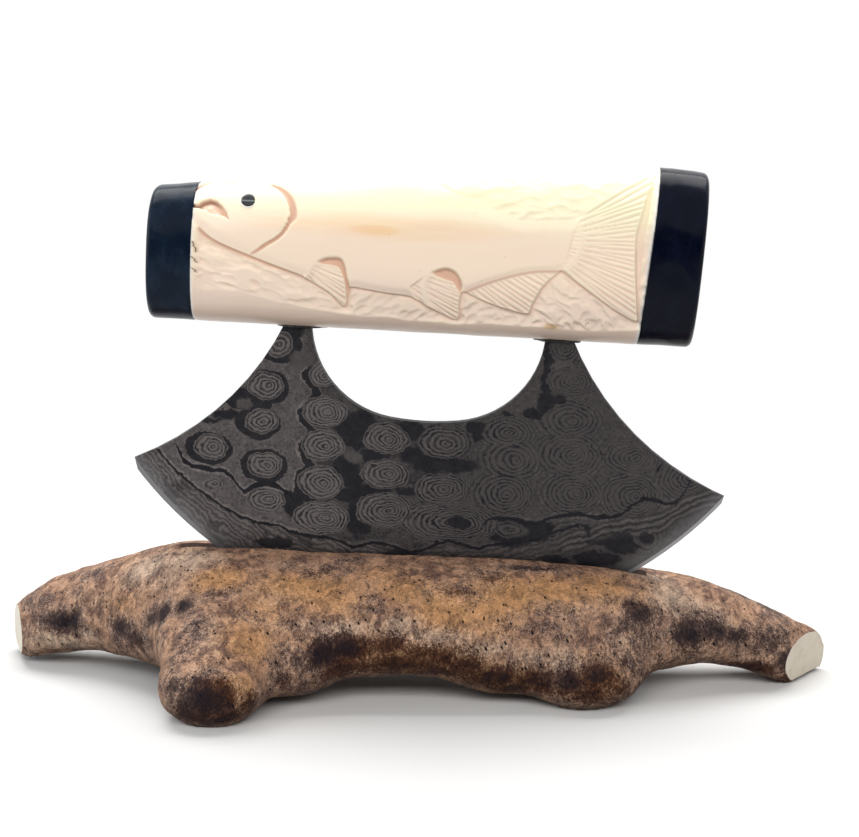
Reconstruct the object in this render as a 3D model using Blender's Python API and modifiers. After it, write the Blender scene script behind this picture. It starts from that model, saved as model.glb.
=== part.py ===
"""An ulu knife standing in a slotted piece of antler. Metres, +Z up, the front faces -Y.

The knife has a frame of its own: X runs along the handle, Z up the blade, and its origin is under
the middle of the handle, between the two posts. One empty carries that frame and leans it to suit
the stand.
"""

import math

import bmesh
import bpy
from mathutils import Matrix, Vector

# Clearances
SEAM_GAP = 0.0002
INLAY_GAP = 0.0001
SLOT_SIDE_GAP = 0.0004
REST_GAP = 0.0003
OVERRUN = 0.004
WELD_DISTANCE = 0.00001

# How the knife stands
KNIFE_LEAN = math.radians(2.7)
KNIFE_OFFSET_X = 0.0047
KNIFE_OFFSET_Y = 0.0095

# Blade
BLADE_THICKNESS = 0.0025
EDGE_RADIUS = 0.0982
EDGE_CENTRE_HEIGHT = 0.0205
EDGE_CENTRE_OFFSET = 0.0018
EDGE_THICKNESS = 0.0002
BEVEL_WIDTH = 0.0022
BEVEL_THICKNESS = 0.0009
GRIND_WIDTH = 0.014
TIP_RADIUS = 0.0794
TIP_CENTRE_DEPTH = 0.02
SIDE_RADIUS = 0.0753
SIDE_CENTRE_HEIGHT = 0.0314
POST_WIDTH = 0.0067
GAP_CORNER_RADIUS = 0.0247
GAP_CORNER_OFFSET = 0.0055
GAP_CORNER_HEIGHT = 0.0013
GAP_FLOOR_RADIUS = 0.0652

# Tangs, and the bedding that holds them in the handle
TANG_INSET = 0.00055
TANG_HEIGHT = 0.0155
TANG_SHOULDER = 0.0008
TANG_NICK_DEPTH = 0.0009
TANG_NICK_WIDTH = 0.0024
TANG_NICK_HEIGHTS = (0.0058, 0.0108)
MORTISE_HEADROOM = 0.0015
MORTISE_MARGIN_X = 0.0021
MORTISE_MARGIN_Y = 0.0012
BEAD_OVERLAP = 0.0006
BEAD_DROP = 0.0009
BEAD_ROUNDING = 0.0003

# Handle: a loft of rounded sections, cut into two caps and a core
HANDLE_LEFT_OVERHANG = 0.0381
HANDLE_RIGHT_OVERHANG = 0.0335
HANDLE_HEIGHT = 0.0451
HANDLE_HEIGHT_DROP_LEFT = 0.0111
HANDLE_HEIGHT_DROP_RIGHT = 0.0009
HANDLE_PEAK_X = 0.054
HANDLE_TAPER_POWER = 1.4
HANDLE_THICKNESS_LEFT = 0.027
HANDLE_THICKNESS_RIGHT = 0.03
HANDLE_END_LEAN = 0.0018
HANDLE_END_ROUNDING = 0.0015
HANDLE_SECTION_POWER = 2.4
LEFT_CAP_LENGTH = 0.0115
RIGHT_CAP_LENGTH = 0.0137
RIGHT_SEAM_LEAN = 0.0031

# Blind pins that key each cap to the core
PIN_RADIUS = 0.0015
PIN_LENGTH = 0.012
PIN_LOWER_HEIGHT = 0.011
PIN_SPACING = 0.014

# Fish carved on the front of the core
RELIEF_DEPTH = 0.001
EYE_X_SHARE = 0.115
EYE_HEIGHT_SHARE = 0.727
PUPIL_RADIUS = 0.00165
PUPIL_DOME = 0.0002
EYE_RING_WALL = 0.0004
EYE_RISE = 0.0002
EYE_POCKET_DEPTH = 0.0025

# Stand
STAND_LENGTH = 0.216
STAND_DEPTH = 0.07
STAND_HEIGHT = 0.0365
STAND_SECTION_POWER = 2.2
STAND_FLARE_SHARE = 0.22
LEFT_CUT_TURN = math.radians(20)
LEFT_CUT_TILT = 0
LEFT_CUT_OVERHANG = 0.0015
RIGHT_CUT_TURN = math.radians(35)
RIGHT_CUT_TILT = math.radians(7)
RIGHT_CUT_INSET = 0.0021
END_MIDDLE_SHARE = 0.25
STAND_VOXEL = 0.0032
STAND_SMOOTHING = 6
SLOT_TOP_SHARE = 0.937
SLOT_DEPTH = 0.0178
SLOT_LEFT_RUNOUT = 0.0084
SLOT_RIGHT_RUNOUT = 0.0045
SLOT_END_DEPTH = 0.005
SLOT_CLEAR_RISE = 0.012

# Points round a circle, and stations along a loft
ARC_STEPS = 14
FLOOR_STEPS = 3
POST_STEPS = 3
EDGE_SIDES = 144
RING_POINTS = 36
HANDLE_STATIONS = 16
ROUNDING_STEPS = 3
PIN_SIDES = 24
EYE_SIDES = 24

# Shares of the core's length from the left seam, and of the handle's height: the ground cut away
# below the fish, above its back, and behind its tail
LOWER_GROUND_SHARES = (
    (0.017, 0.555), (0.043, 0.51), (0.128, 0.422), (0.214, 0.349), (0.274, 0.278), (0.303, 0.218),
    (0.331, 0.151), (0.338, 0.222), (0.346, 0.273), (0.427, 0.249), (0.487, 0.222), (0.513, 0.184),
    (0.547, 0.133), (0.578, 0.107), (0.583, 0.222), (0.594, 0.276), (0.624, 0.244), (0.692, 0.187),
    (0.728, 0.169), (0.737, 0.233), (0.752, 0.318), (0.782, 0.4), (0.799, 0.429), (0.821, 0.391),
    (0.855, 0.329), (0.897, 0.251), (0.955, 0.165), (0.955, 0.111), (0.769, 0.096), (0.581, 0.08),
    (0.427, 0.107), (0.256, 0.14), (0.128, 0.2), (0.026, 0.216),
)
UPPER_GROUND_SHARES = (
    (0.487, 0.878), (0.53, 0.898), (0.598, 0.911), (0.726, 0.938), (0.923, 0.965), (0.94, 0.922),
    (0.897, 0.867), (0.855, 0.789), (0.821, 0.716), (0.769, 0.707), (0.701, 0.696), (0.658, 0.733),
    (0.607, 0.784), (0.556, 0.822),
)
TAIL_GROUND_SHARES = (
    (0.968, 0.889), (0.98, 0.844), (0.974, 0.667), (0.971, 0.489), (0.966, 0.267), (0.96, 0.267),
    (0.952, 0.444), (0.95, 0.622), (0.956, 0.756),
)

# Stations along the stand: share of its length, then the section's middle and half depth as shares
# of its depth, then its top and underside as shares of its height
STAND_STATION_SHARES = (
    (-0.03, 0.35, 0.13, 0.37, -0.06),
    (0.0, 0.335, 0.136, 0.47, -0.05),
    (0.042, 0.32, 0.15, 0.64, 0.02),
    (0.106, 0.28, 0.18, 0.78, 0.13),
    (0.171, 0.207, 0.243, 0.92, 0.13),
    (0.227, 0.136, 0.314, 1.02, 0.055),
    (0.301, 0.093, 0.343, 1.0, 0.08),
    (0.407, 0.093, 0.33, 0.975, 0.137),
    (0.523, 0.093, 0.33, 0.96, 0.15),
    (0.639, 0.107, 0.314, 0.945, 0.123),
    (0.731, 0.121, 0.3, 0.9, 0.082),
    (0.792, 0.164, 0.243, 0.845, 0.137),
    (0.856, 0.207, 0.186, 0.76, 0.164),
    (0.917, 0.236, 0.157, 0.6, 0.082),
    (0.977, 0.24, 0.143, 0.43, -0.06),
    (1.03, 0.24, 0.136, 0.31, -0.09),
)
# Feet that bulge from the stand's front: centre, then half sizes, as shares of length, depth, height
STAND_FOOT_SHARES = (
    ((0.282, -0.064, 0.41), (0.088, 0.286, 0.397)),
    ((0.275, -0.31, 0.24), (0.067, 0.2, 0.3)),
    ((0.357, -0.09, 0.31), (0.075, 0.22, 0.27)),
    ((0.61, -0.03, 0.3), (0.085, 0.2, 0.25)),
    ((0.699, 0.02, 0.356), (0.102, 0.229, 0.342)),
    ((0.71, -0.09, 0.219), (0.075, 0.171, 0.25)),
)

# Sizes worked out from those above
blade_depth = EDGE_RADIUS - EDGE_CENTRE_HEIGHT
gap_corner = (GAP_CORNER_OFFSET, GAP_CORNER_HEIGHT)
post_inner = GAP_CORNER_OFFSET + math.sqrt(GAP_CORNER_RADIUS**2 - (TANG_SHOULDER - GAP_CORNER_HEIGHT) ** 2)
post_outer = post_inner + POST_WIDTH
side_chord = math.sqrt(SIDE_RADIUS**2 - (SIDE_CENTRE_HEIGHT - TANG_SHOULDER) ** 2)
side_centre = (post_outer + side_chord, SIDE_CENTRE_HEIGHT)
tang_centre = (post_inner + post_outer) / 2
tang_width = POST_WIDTH - 2 * TANG_INSET
left_reach = tang_centre + HANDLE_LEFT_OVERHANG
right_reach = tang_centre + HANDLE_RIGHT_OVERHANG
left_seam_x = LEFT_CAP_LENGTH - left_reach
right_seam_x = right_reach - RIGHT_CAP_LENGTH
handle_length = left_reach + right_reach
carving_length = right_seam_x + RIGHT_SEAM_LEAN - left_seam_x
mortise_width = tang_width + 2 * MORTISE_MARGIN_X
mortise_thickness = BLADE_THICKNESS + 2 * MORTISE_MARGIN_Y
mortise_depth = TANG_HEIGHT + MORTISE_HEADROOM
edge_chord = math.sqrt(EDGE_RADIUS**2 - (EDGE_RADIUS - SLOT_DEPTH) ** 2)
slot_left_reach = edge_chord - EDGE_CENTRE_OFFSET + SLOT_LEFT_RUNOUT
slot_right_reach = edge_chord + EDGE_CENTRE_OFFSET + SLOT_RIGHT_RUNOUT
knife_height = STAND_HEIGHT * SLOT_TOP_SHARE - SLOT_DEPTH + REST_GAP + blade_depth

model = bpy.data.collections.new("Ulu")
cutters = bpy.data.collections.new("Cutters")


def clear_scene():
    for old in list(bpy.data.objects):
        bpy.data.objects.remove(old)
    bpy.context.scene.collection.children.link(model)
    bpy.context.scene.collection.children.link(cutters)


def material(name, colour, roughness, metallic=0):
    made = bpy.data.materials.new(name)
    made.use_nodes = True
    shader = made.node_tree.nodes["Principled BSDF"]
    shader.inputs["Base Color"].default_value = (*colour, 1)
    shader.inputs["Roughness"].default_value = roughness
    shader.inputs["Metallic"].default_value = metallic
    made.diffuse_color = (*colour, 1)
    return made


# Shapes: each helper returns an object that isn't in any collection yet


def mesh_object(name, mesh):
    return bpy.data.objects.new(name, mesh)


def plate(name, outline, thickness):
    """A flat outline of (x, z) points, extruded evenly to both sides of Y, as a mesh."""
    curve = bpy.data.curves.new(name, "CURVE")
    curve.dimensions = "2D"
    curve.fill_mode = "BOTH"
    curve.extrude = thickness / 2
    spline = curve.splines.new("POLY")
    spline.points.add(len(outline) - 1)
    for point, (x, z) in zip(spline.points, outline):
        point.co = (x, z, 0, 1)
    spline.use_cyclic_u = True
    drawn = bpy.data.objects.new(name, curve)
    cutters.objects.link(drawn)
    mesh = evaluated_mesh(drawn)
    bpy.data.objects.remove(drawn)
    upright = Matrix.Rotation(math.radians(90), 4, "X")
    mesh.transform(upright)
    return mesh_object(name, closed(mesh))


def turned(name, profile, steps):
    """A profile of (radius, height) points, spun round Z with a Screw and closed, as a mesh."""
    mesh = bpy.data.meshes.new(name)
    mesh.from_pydata([(radius, 0, height) for radius, height in profile],
                     [(i, i + 1) for i in range(len(profile) - 1)], [])
    drawn = mesh_object(name, mesh)
    cutters.objects.link(drawn)
    screw = drawn.modifiers.new("Screw", "SCREW")
    screw.steps = screw.render_steps = steps
    screw.use_merge_vertices = True
    screw.merge_threshold = WELD_DISTANCE
    spun = evaluated_mesh(drawn)
    bpy.data.objects.remove(drawn)
    return mesh_object(name, closed(spun))


def evaluated_mesh(drawn):
    bpy.context.view_layer.update()
    graph = bpy.context.evaluated_depsgraph_get()
    return bpy.data.meshes.new_from_object(drawn.evaluated_get(graph))


def closed(mesh):
    """Welds the mesh's loose caps and turns its faces outwards."""
    work = bmesh.new()
    work.from_mesh(mesh)
    bmesh.ops.remove_doubles(work, verts=work.verts, dist=WELD_DISTANCE)
    bmesh.ops.recalc_face_normals(work, faces=work.faces)
    work.to_mesh(mesh)
    work.free()
    return mesh


def loft(name, rings):
    """A closed skin over rings of equally many points, with a flat face on each end."""
    work = bmesh.new()
    rows = [[work.verts.new(point) for point in ring] for ring in rings]
    for row, following in zip(rows, rows[1:]):
        for i in range(len(row)):
            j = (i + 1) % len(row)
            work.faces.new((row[i], row[j], following[j], following[i]))
    work.faces.new(rows[0])
    work.faces.new(rows[-1])
    bmesh.ops.recalc_face_normals(work, faces=work.faces)
    mesh = bpy.data.meshes.new(name)
    work.to_mesh(mesh)
    work.free()
    return mesh_object(name, mesh)


def block(name, width, depth, height, centre):
    work = bmesh.new()
    bmesh.ops.create_cube(work, size=1, matrix=Matrix.Diagonal((width, depth, height, 1)))
    mesh = bpy.data.meshes.new(name)
    work.to_mesh(mesh)
    work.free()
    made = mesh_object(name, mesh)
    made.location = centre
    return made


def rod(name, radius, length, centre):
    """A cylinder along X."""
    work = bmesh.new()
    bmesh.ops.create_cone(work, cap_ends=True, segments=PIN_SIDES, radius1=radius, radius2=radius,
                          depth=length, matrix=Matrix.Rotation(math.radians(90), 4, "Y"))
    mesh = bpy.data.meshes.new(name)
    work.to_mesh(mesh)
    work.free()
    made = mesh_object(name, mesh)
    made.location = centre
    return made


# Keeping objects: a part is shown and gets its material, a cutter is hidden


def keep(part, look, parent=None):
    model.objects.link(part)
    part.data.materials.clear()
    part.data.materials.append(look)
    part.parent = parent
    part.data.shade_smooth()
    part.data.set_sharp_from_angle(angle=math.radians(35))
    return part


def hide(cutter, parent=None):
    cutters.objects.link(cutter)
    cutter.parent = parent
    cutter.hide_render = True
    cutter.display_type = "WIRE"
    return cutter


def cut(part, cutter, operation="DIFFERENCE"):
    boolean = part.modifiers.new(cutter.name, "BOOLEAN")
    boolean.operation = operation
    boolean.object = cutter


# Geometry of circles and rounded sections


def arc(centre, radius, start, end, steps):
    """Points on a circle from one angle to another."""
    angles = [start + (end - start) * i / steps for i in range(steps + 1)]
    return [(centre[0] + radius * math.cos(a), centre[1] + radius * math.sin(a)) for a in angles]


def rounded_power(value, power):
    return math.copysign(abs(value) ** (2 / power), value)


def section(x, middle, half_depth, low, high, power, lean=0, flare=0):
    """One rounded ring across X. Lean shifts it along X by this much a metre of height, and flare
    widens its lower half by this share of its depth, as it narrows the upper half."""
    ring = []
    for i in range(RING_POINTS):
        angle = 2 * math.pi * i / RING_POINTS
        across = rounded_power(math.cos(angle), power)
        up = rounded_power(math.sin(angle), power)
        z = (low + high) / 2 + (high - low) / 2 * up
        ring.append(Vector((x + lean * z, middle + half_depth * across * (1 - flare * up), z)))
    return ring


# Blade


def corner_angle(height):
    return math.asin((height - GAP_CORNER_HEIGHT) / GAP_CORNER_RADIUS)


def side_angle(height):
    return math.pi + math.asin((SIDE_CENTRE_HEIGHT - height) / SIDE_RADIUS)


def gap_outline():
    """The finger gap's right half: its floor, then its corner up to the tang's shoulder."""
    rise = math.sqrt((GAP_FLOOR_RADIUS - GAP_CORNER_RADIUS) ** 2 - GAP_CORNER_OFFSET**2)
    meeting = math.atan2(-rise, GAP_CORNER_OFFSET)
    floor = arc((0, GAP_CORNER_HEIGHT + rise), GAP_FLOOR_RADIUS, -math.pi / 2, meeting, FLOOR_STEPS)
    corner = arc(gap_corner, GAP_CORNER_RADIUS, meeting, corner_angle(TANG_SHOULDER), ARC_STEPS)
    return floor + corner[1:]


def side_outline():
    """The hollow side from the tang's shoulder down past the tip, to the circle's lowest point."""
    return arc(side_centre, SIDE_RADIUS, side_angle(TANG_SHOULDER), 3 * math.pi / 2, ARC_STEPS)


def tang_outline(grow=0):
    """The right tang from its inner shoulder round to its outer one, grown by a clearance."""
    inner = tang_centre - tang_width / 2 - grow
    outer = tang_centre + tang_width / 2 + grow
    half_nick = TANG_NICK_WIDTH / 2 - grow
    left = [(inner, TANG_SHOULDER + grow)]
    for height in TANG_NICK_HEIGHTS:
        left += [(inner, height - half_nick), (inner + TANG_NICK_DEPTH, height), (inner, height + half_nick)]
    left.append((inner, TANG_HEIGHT + grow))
    right = [(inner + outer - x, z) for x, z in reversed(left)]
    return left + right


def mirrored(points):
    return [(-x, z) for x, z in reversed(points)]


def blade_outline():
    below_edge = -blade_depth - OVERRUN
    side = side_outline()
    right = gap_outline() + tang_outline() + side + [(side[-1][0], below_edge)]
    return right + mirrored(right[1:])


def edge_disc():
    """The disc whose rim is the cutting edge: flat, then ground thinner, then bevelled."""
    half = BLADE_THICKNESS / 2
    upper = [(0, half), (EDGE_RADIUS - GRIND_WIDTH, half),
             (EDGE_RADIUS - BEVEL_WIDTH, BEVEL_THICKNESS / 2), (EDGE_RADIUS, EDGE_THICKNESS / 2)]
    lower = [(radius, -height) for radius, height in reversed(upper)]
    disc = turned("edge_disc", upper + lower, EDGE_SIDES)
    disc.rotation_euler.x = math.radians(90)
    disc.location = (EDGE_CENTRE_OFFSET, 0, EDGE_CENTRE_HEIGHT)
    return disc


def tip_disc():
    """A wider, lower disc that takes off the two points where the sides meet the edge."""
    half = BLADE_THICKNESS / 2 + OVERRUN
    disc = turned("tip_disc", [(0, half), (TIP_RADIUS, half), (TIP_RADIUS, -half), (0, -half)], EDGE_SIDES)
    disc.rotation_euler.x = math.radians(90)
    disc.location = (EDGE_CENTRE_OFFSET, 0, -TIP_CENTRE_DEPTH)
    return disc


def make_blade(knife):
    blade = plate("blade", blade_outline(), BLADE_THICKNESS + 2 * OVERRUN)
    cut(blade, hide(edge_disc(), knife), "INTERSECT")
    cut(blade, hide(tip_disc(), knife), "INTERSECT")
    keep(blade, material("damascus_steel", (0.09, 0.08, 0.075), 0.45, 0.8), knife)


# Handle


def handle_top(x):
    """Height of the handle's top line over its underside."""
    if x > HANDLE_PEAK_X:
        past = (x - HANDLE_PEAK_X) / (right_reach - HANDLE_PEAK_X)
        return HANDLE_HEIGHT - HANDLE_HEIGHT_DROP_RIGHT * past**2
    before = (HANDLE_PEAK_X - x) / (HANDLE_PEAK_X + left_reach)
    return HANDLE_HEIGHT - HANDLE_HEIGHT_DROP_LEFT * before**HANDLE_TAPER_POWER


def handle_half_thickness(x):
    along = (x + left_reach) / handle_length
    return (HANDLE_THICKNESS_LEFT * (1 - along) + HANDLE_THICKNESS_RIGHT * along) / 2


def handle_ring(x, inset):
    along = (x + left_reach) / handle_length
    lean = HANDLE_END_LEAN / HANDLE_HEIGHT * along
    return section(x, 0, handle_half_thickness(x) - inset, inset, handle_top(x) - inset,
                   HANDLE_SECTION_POWER, lean)


def handle_loft(name, inset=0):
    """The whole handle with rounded end rims, or the same drawn in by an inset all round."""
    start, end = inset - left_reach, right_reach - inset
    quarter = [math.pi / 2 * i / ROUNDING_STEPS for i in range(ROUNDING_STEPS + 1)]
    rim = [(HANDLE_END_ROUNDING * (1 - math.sin(a)), HANDLE_END_ROUNDING * (1 - math.cos(a)))
           for a in quarter]
    body_start, body_end = start + HANDLE_END_ROUNDING, end - HANDLE_END_ROUNDING
    step = (body_end - body_start) / HANDLE_STATIONS
    rings = [handle_ring(start + away, inset + drawn) for drawn, away in rim]
    rings += [handle_ring(body_start + step * i, inset) for i in range(1, HANDLE_STATIONS)]
    rings += [handle_ring(end - away, inset + drawn) for drawn, away in reversed(rim)]
    return loft(name, rings)


def right_seam_at(height):
    return right_seam_x + RIGHT_SEAM_LEAN * height / HANDLE_HEIGHT


def stretch_of_handle(name, low_left, low_right, top_left, top_right):
    """A block that keeps one stretch of the handle, between slanted ends."""
    bottom, top = -OVERRUN, HANDLE_HEIGHT + OVERRUN
    outline = [(low_left, bottom), (low_right, bottom), (top_right, top), (top_left, top)]
    return plate(name, outline, HANDLE_THICKNESS_RIGHT + 2 * OVERRUN)


def handle_stretches():
    """The left cap's, the core's and the right cap's stretch, with a glue line between them."""
    low = right_seam_at(-OVERRUN)
    top = right_seam_at(HANDLE_HEIGHT + OVERRUN)
    left_end = -left_reach - OVERRUN
    right_end = right_reach + HANDLE_END_LEAN + OVERRUN
    half_gap = SEAM_GAP / 2
    left = stretch_of_handle("left_stretch", left_end, left_seam_x - half_gap,
                             left_end, left_seam_x - half_gap)
    middle = stretch_of_handle("middle_stretch", left_seam_x + half_gap, low - half_gap,
                               left_seam_x + half_gap, top - half_gap)
    right = stretch_of_handle("right_stretch", low + half_gap, right_end, top + half_gap, right_end)
    return left, middle, right


def pin_places():
    """Name and centre of each blind pin."""
    places = []
    for side in ("left", "right"):
        for level, height in (("lower", PIN_LOWER_HEIGHT), ("upper", PIN_LOWER_HEIGHT + PIN_SPACING)):
            x = left_seam_x if side == "left" else right_seam_at(height)
            places.append((f"cap_pin_{side}_{level}", Vector((x, 0, height))))
    return places


def carved_ground(name, shares, inner):
    """What the carver cuts away in one panel: the panel's outline, down to the inner loft."""
    outline = [(left_seam_x + x * carving_length, z * HANDLE_HEIGHT) for x, z in shares]
    depth = HANDLE_THICKNESS_RIGHT / 2 + OVERRUN
    panel = plate(name, outline, depth)
    panel.location.y = -depth / 2
    cut(panel, inner)
    return panel


def front_of_handle(x, z):
    """The point on the handle's front at this place, and the way that the surface faces there."""
    half_depth, half_height = handle_half_thickness(x), handle_top(x) / 2
    rise = (z - half_height) / half_height
    out = (1 - abs(rise) ** HANDLE_SECTION_POWER) ** (1 / HANDLE_SECTION_POWER)
    slope_y = out ** (HANDLE_SECTION_POWER - 1) / half_depth
    slope_z = math.copysign(abs(rise) ** (HANDLE_SECTION_POWER - 1), rise) / half_height
    return Vector((x, -half_depth * out, z)), Vector((0, -slope_y, slope_z)).normalized()


def placed_on_front(made):
    """Stands a turned piece, whose Z leaves the ivory, at the eye's place."""
    place, facing = front_of_handle(left_seam_x + EYE_X_SHARE * carving_length,
                                    EYE_HEIGHT_SHARE * HANDLE_HEIGHT)
    made.matrix_world = Matrix.Translation(place) @ facing.to_track_quat("Z", "Y").to_matrix().to_4x4()
    return made


def make_eye(knife):
    """The inlaid pupil and ring. Returns the pocket that they sit in."""
    ring_inner = PUPIL_RADIUS + INLAY_GAP
    ring_outer = ring_inner + EYE_RING_WALL
    floor = INLAY_GAP - EYE_POCKET_DEPTH
    ring_top = EYE_RISE / 2
    pocket_radius = ring_outer + INLAY_GAP
    dome = [(0, EYE_RISE + PUPIL_DOME), (PUPIL_RADIUS / 2, EYE_RISE + PUPIL_DOME), (PUPIL_RADIUS, EYE_RISE)]
    pupil = turned("eye_pupil", dome + [(PUPIL_RADIUS, floor), (0, floor)], EYE_SIDES)
    ring = turned("eye_ring", [(ring_inner, ring_top), (ring_outer, ring_top), (ring_outer, floor),
                               (ring_inner, floor), (ring_inner, ring_top)], EYE_SIDES)
    pocket = turned("eye_pocket", [(0, OVERRUN), (pocket_radius, OVERRUN),
                                   (pocket_radius, -EYE_POCKET_DEPTH), (0, -EYE_POCKET_DEPTH)], EYE_SIDES)
    keep(placed_on_front(pupil), material("black_inlay", (0.01, 0.01, 0.011), 0.2), knife)
    keep(placed_on_front(ring), material("pale_inlay", (0.85, 0.82, 0.76), 0.35), knife)
    return hide(placed_on_front(pocket), knife)


def make_bedding(knife, name, side):
    """The black cup round one tang, with the bead that shows under the handle."""
    centre = tang_centre * side
    sleeve_top = mortise_depth - SEAM_GAP
    sleeve = block(name, mortise_width - 2 * SEAM_GAP, mortise_thickness - 2 * SEAM_GAP,
                   sleeve_top + BEAD_DROP / 2, (centre, 0, (sleeve_top - BEAD_DROP / 2) / 2))
    bead = block(f"{name}_bead", mortise_width + 2 * BEAD_OVERLAP, mortise_thickness + 2 * BEAD_OVERLAP,
                 BEAD_DROP - SEAM_GAP, (centre, 0, -(BEAD_DROP + SEAM_GAP) / 2))
    rounding = bead.modifiers.new("Rounding", "BEVEL")
    rounding.width = BEAD_ROUNDING
    rounding.limit_method = "NONE"
    rounding.segments = 2
    shoulder = TANG_SHOULDER + SEAM_GAP
    inner = arc(gap_corner, GAP_CORNER_RADIUS - SEAM_GAP, corner_angle(-OVERRUN), corner_angle(shoulder),
                POST_STEPS)
    outer = arc(side_centre, SIDE_RADIUS - SEAM_GAP, side_angle(shoulder), side_angle(-OVERRUN), POST_STEPS)
    hollow_outline = inner + tang_outline(SEAM_GAP) + outer
    if side < 0:
        hollow_outline = mirrored(hollow_outline)
    hollow = plate(f"{name}_hollow", hollow_outline, BLADE_THICKNESS + 2 * SEAM_GAP)
    cut(sleeve, hide(bead, knife), "UNION")
    cut(sleeve, hide(hollow, knife))
    keep(sleeve, material("black_bedding", (0.015, 0.014, 0.013), 0.35), knife)


def mortise(name, side):
    height = mortise_depth + OVERRUN
    return block(name, mortise_width, mortise_thickness, height,
                 (tang_centre * side, 0, mortise_depth - height / 2))


def make_handle(knife):
    ivory = material("carved_ivory", (0.86, 0.76, 0.64), 0.4)
    horn = material("black_horn", (0.012, 0.016, 0.02), 0.22)
    steel = material("pin_steel", (0.5, 0.5, 0.5), 0.35, 1)
    left, middle, right = handle_stretches()
    left_cap = handle_loft("left_cap")
    core = handle_loft("handle_core")
    right_cap = handle_loft("right_cap")
    for part, stretch in ((left_cap, left), (core, middle), (right_cap, right)):
        cut(part, hide(stretch, knife), "INTERSECT")
    for name, place in pin_places():
        keep(rod(name, PIN_RADIUS, PIN_LENGTH, place), steel, knife)
        hole = hide(rod(f"{name}_hole", PIN_RADIUS + SEAM_GAP, PIN_LENGTH + 2 * SEAM_GAP, place), knife)
        cut(left_cap if "left" in name else right_cap, hole)
        cut(core, hole)
    for side_name, side in (("left", -1), ("right", 1)):
        make_bedding(knife, f"tang_epoxy_{side_name}", side)
        cut(core, hide(mortise(f"mortise_{side_name}", side), knife))
    cut(core, make_eye(knife))
    inner = hide(handle_loft("inner_handle", RELIEF_DEPTH), knife)
    for name, shares in (("lower_ground", LOWER_GROUND_SHARES), ("upper_ground", UPPER_GROUND_SHARES),
                         ("tail_ground", TAIL_GROUND_SHARES)):
        cut(core, hide(carved_ground(name, shares, inner), knife))
    keep(left_cap, horn, knife)
    keep(core, ivory, knife)
    keep(right_cap, horn, knife)


# Stand


def stand_ring(along, middle, reach, top, bottom):
    return section((along - 1 / 2) * STAND_LENGTH, middle * STAND_DEPTH, reach * STAND_DEPTH,
                   bottom * STAND_HEIGHT, top * STAND_HEIGHT, STAND_SECTION_POWER,
                   flare=STAND_FLARE_SHARE)


def stand_mesh():
    """The bar and its two feet as one rough skin, before remeshing melts them together."""
    work = bmesh.new()
    bar = loft("bar", [stand_ring(*shares) for shares in STAND_STATION_SHARES])
    work.from_mesh(bar.data)
    bpy.data.objects.remove(bar)
    for (along, across, up), half_sizes in STAND_FOOT_SHARES:
        place = Vector(((along - 1 / 2) * STAND_LENGTH, across * STAND_DEPTH, up * STAND_HEIGHT))
        whole = (STAND_LENGTH, STAND_DEPTH, STAND_HEIGHT)
        size = Matrix.Diagonal([share * side for share, side in zip(half_sizes, whole)] + [1])
        bmesh.ops.create_uvsphere(work, u_segments=RING_POINTS, v_segments=RING_POINTS // 2, radius=1,
                                  matrix=Matrix.Translation(place) @ size)
    mesh = bpy.data.meshes.new("stand")
    work.to_mesh(mesh)
    work.free()
    return mesh


def end_cutter(name, side, reach, middle_share, cut_turn, cut_tilt):
    """A block beyond one sawn end, whose near face looks towards the front, and down if tilted."""
    size = 2 * STAND_DEPTH
    made = block(name, size, size, size, (0, 0, 0))
    turn = Matrix.Rotation(-side * cut_turn, 4, "Z")
    tilt = Matrix.Rotation(side * cut_tilt, 4, "Y")
    place = (side * reach, middle_share * STAND_DEPTH, STAND_HEIGHT * END_MIDDLE_SHARE)
    made.matrix_world = Matrix.Translation(place) @ turn @ tilt @ Matrix.Translation((side * size / 2, 0, 0))
    return made


def slot_outline():
    """The slot in the knife's frame: a shallow arc below the cutting edge, and straight ends."""
    floor = -blade_depth - REST_GAP
    half_chord = (slot_left_reach + slot_right_reach) / 2
    middle = (slot_right_reach - slot_left_reach) / 2
    sagitta = SLOT_DEPTH - SLOT_END_DEPTH
    radius = (half_chord**2 + sagitta**2) / (2 * sagitta)
    opening = math.asin(half_chord / radius)
    bottom = arc((middle, floor + radius), radius, -math.pi / 2 - opening, -math.pi / 2 + opening,
                 ARC_STEPS)
    top = floor + SLOT_DEPTH + SLOT_CLEAR_RISE
    return bottom + [(slot_right_reach, top), (-slot_left_reach, top)]


def make_stand(knife):
    stand = mesh_object("stand", stand_mesh())
    remesh = stand.modifiers.new("Melt", "REMESH")
    remesh.mode = "VOXEL"
    remesh.voxel_size = STAND_VOXEL
    smooth = stand.modifiers.new("Smooth", "SMOOTH")
    smooth.iterations = STAND_SMOOTHING
    under = block("table_side", 2 * STAND_LENGTH, 2 * STAND_DEPTH, STAND_DEPTH, (0, 0, -STAND_DEPTH / 2))
    cut(stand, hide(under))
    stand_left = STAND_LENGTH / 2 + LEFT_CUT_OVERHANG
    stand_right = STAND_LENGTH / 2 - RIGHT_CUT_INSET
    cut(stand, hide(end_cutter("left_end", -1, stand_left, STAND_STATION_SHARES[0][1],
                               LEFT_CUT_TURN, LEFT_CUT_TILT)))
    cut(stand, hide(end_cutter("right_end", 1, stand_right, STAND_STATION_SHARES[-1][1],
                               RIGHT_CUT_TURN, RIGHT_CUT_TILT)))
    slot = plate("slot", slot_outline(), BLADE_THICKNESS + 2 * SLOT_SIDE_GAP)
    cut(stand, hide(slot, knife))
    keep(stand, material("antler", (0.3, 0.19, 0.1), 0.75))


def make_knife_frame():
    knife = bpy.data.objects.new("knife", None)
    model.objects.link(knife)
    knife.location = (KNIFE_OFFSET_X, KNIFE_OFFSET_Y, knife_height)
    knife.rotation_euler.y = KNIFE_LEAN
    return knife


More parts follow.
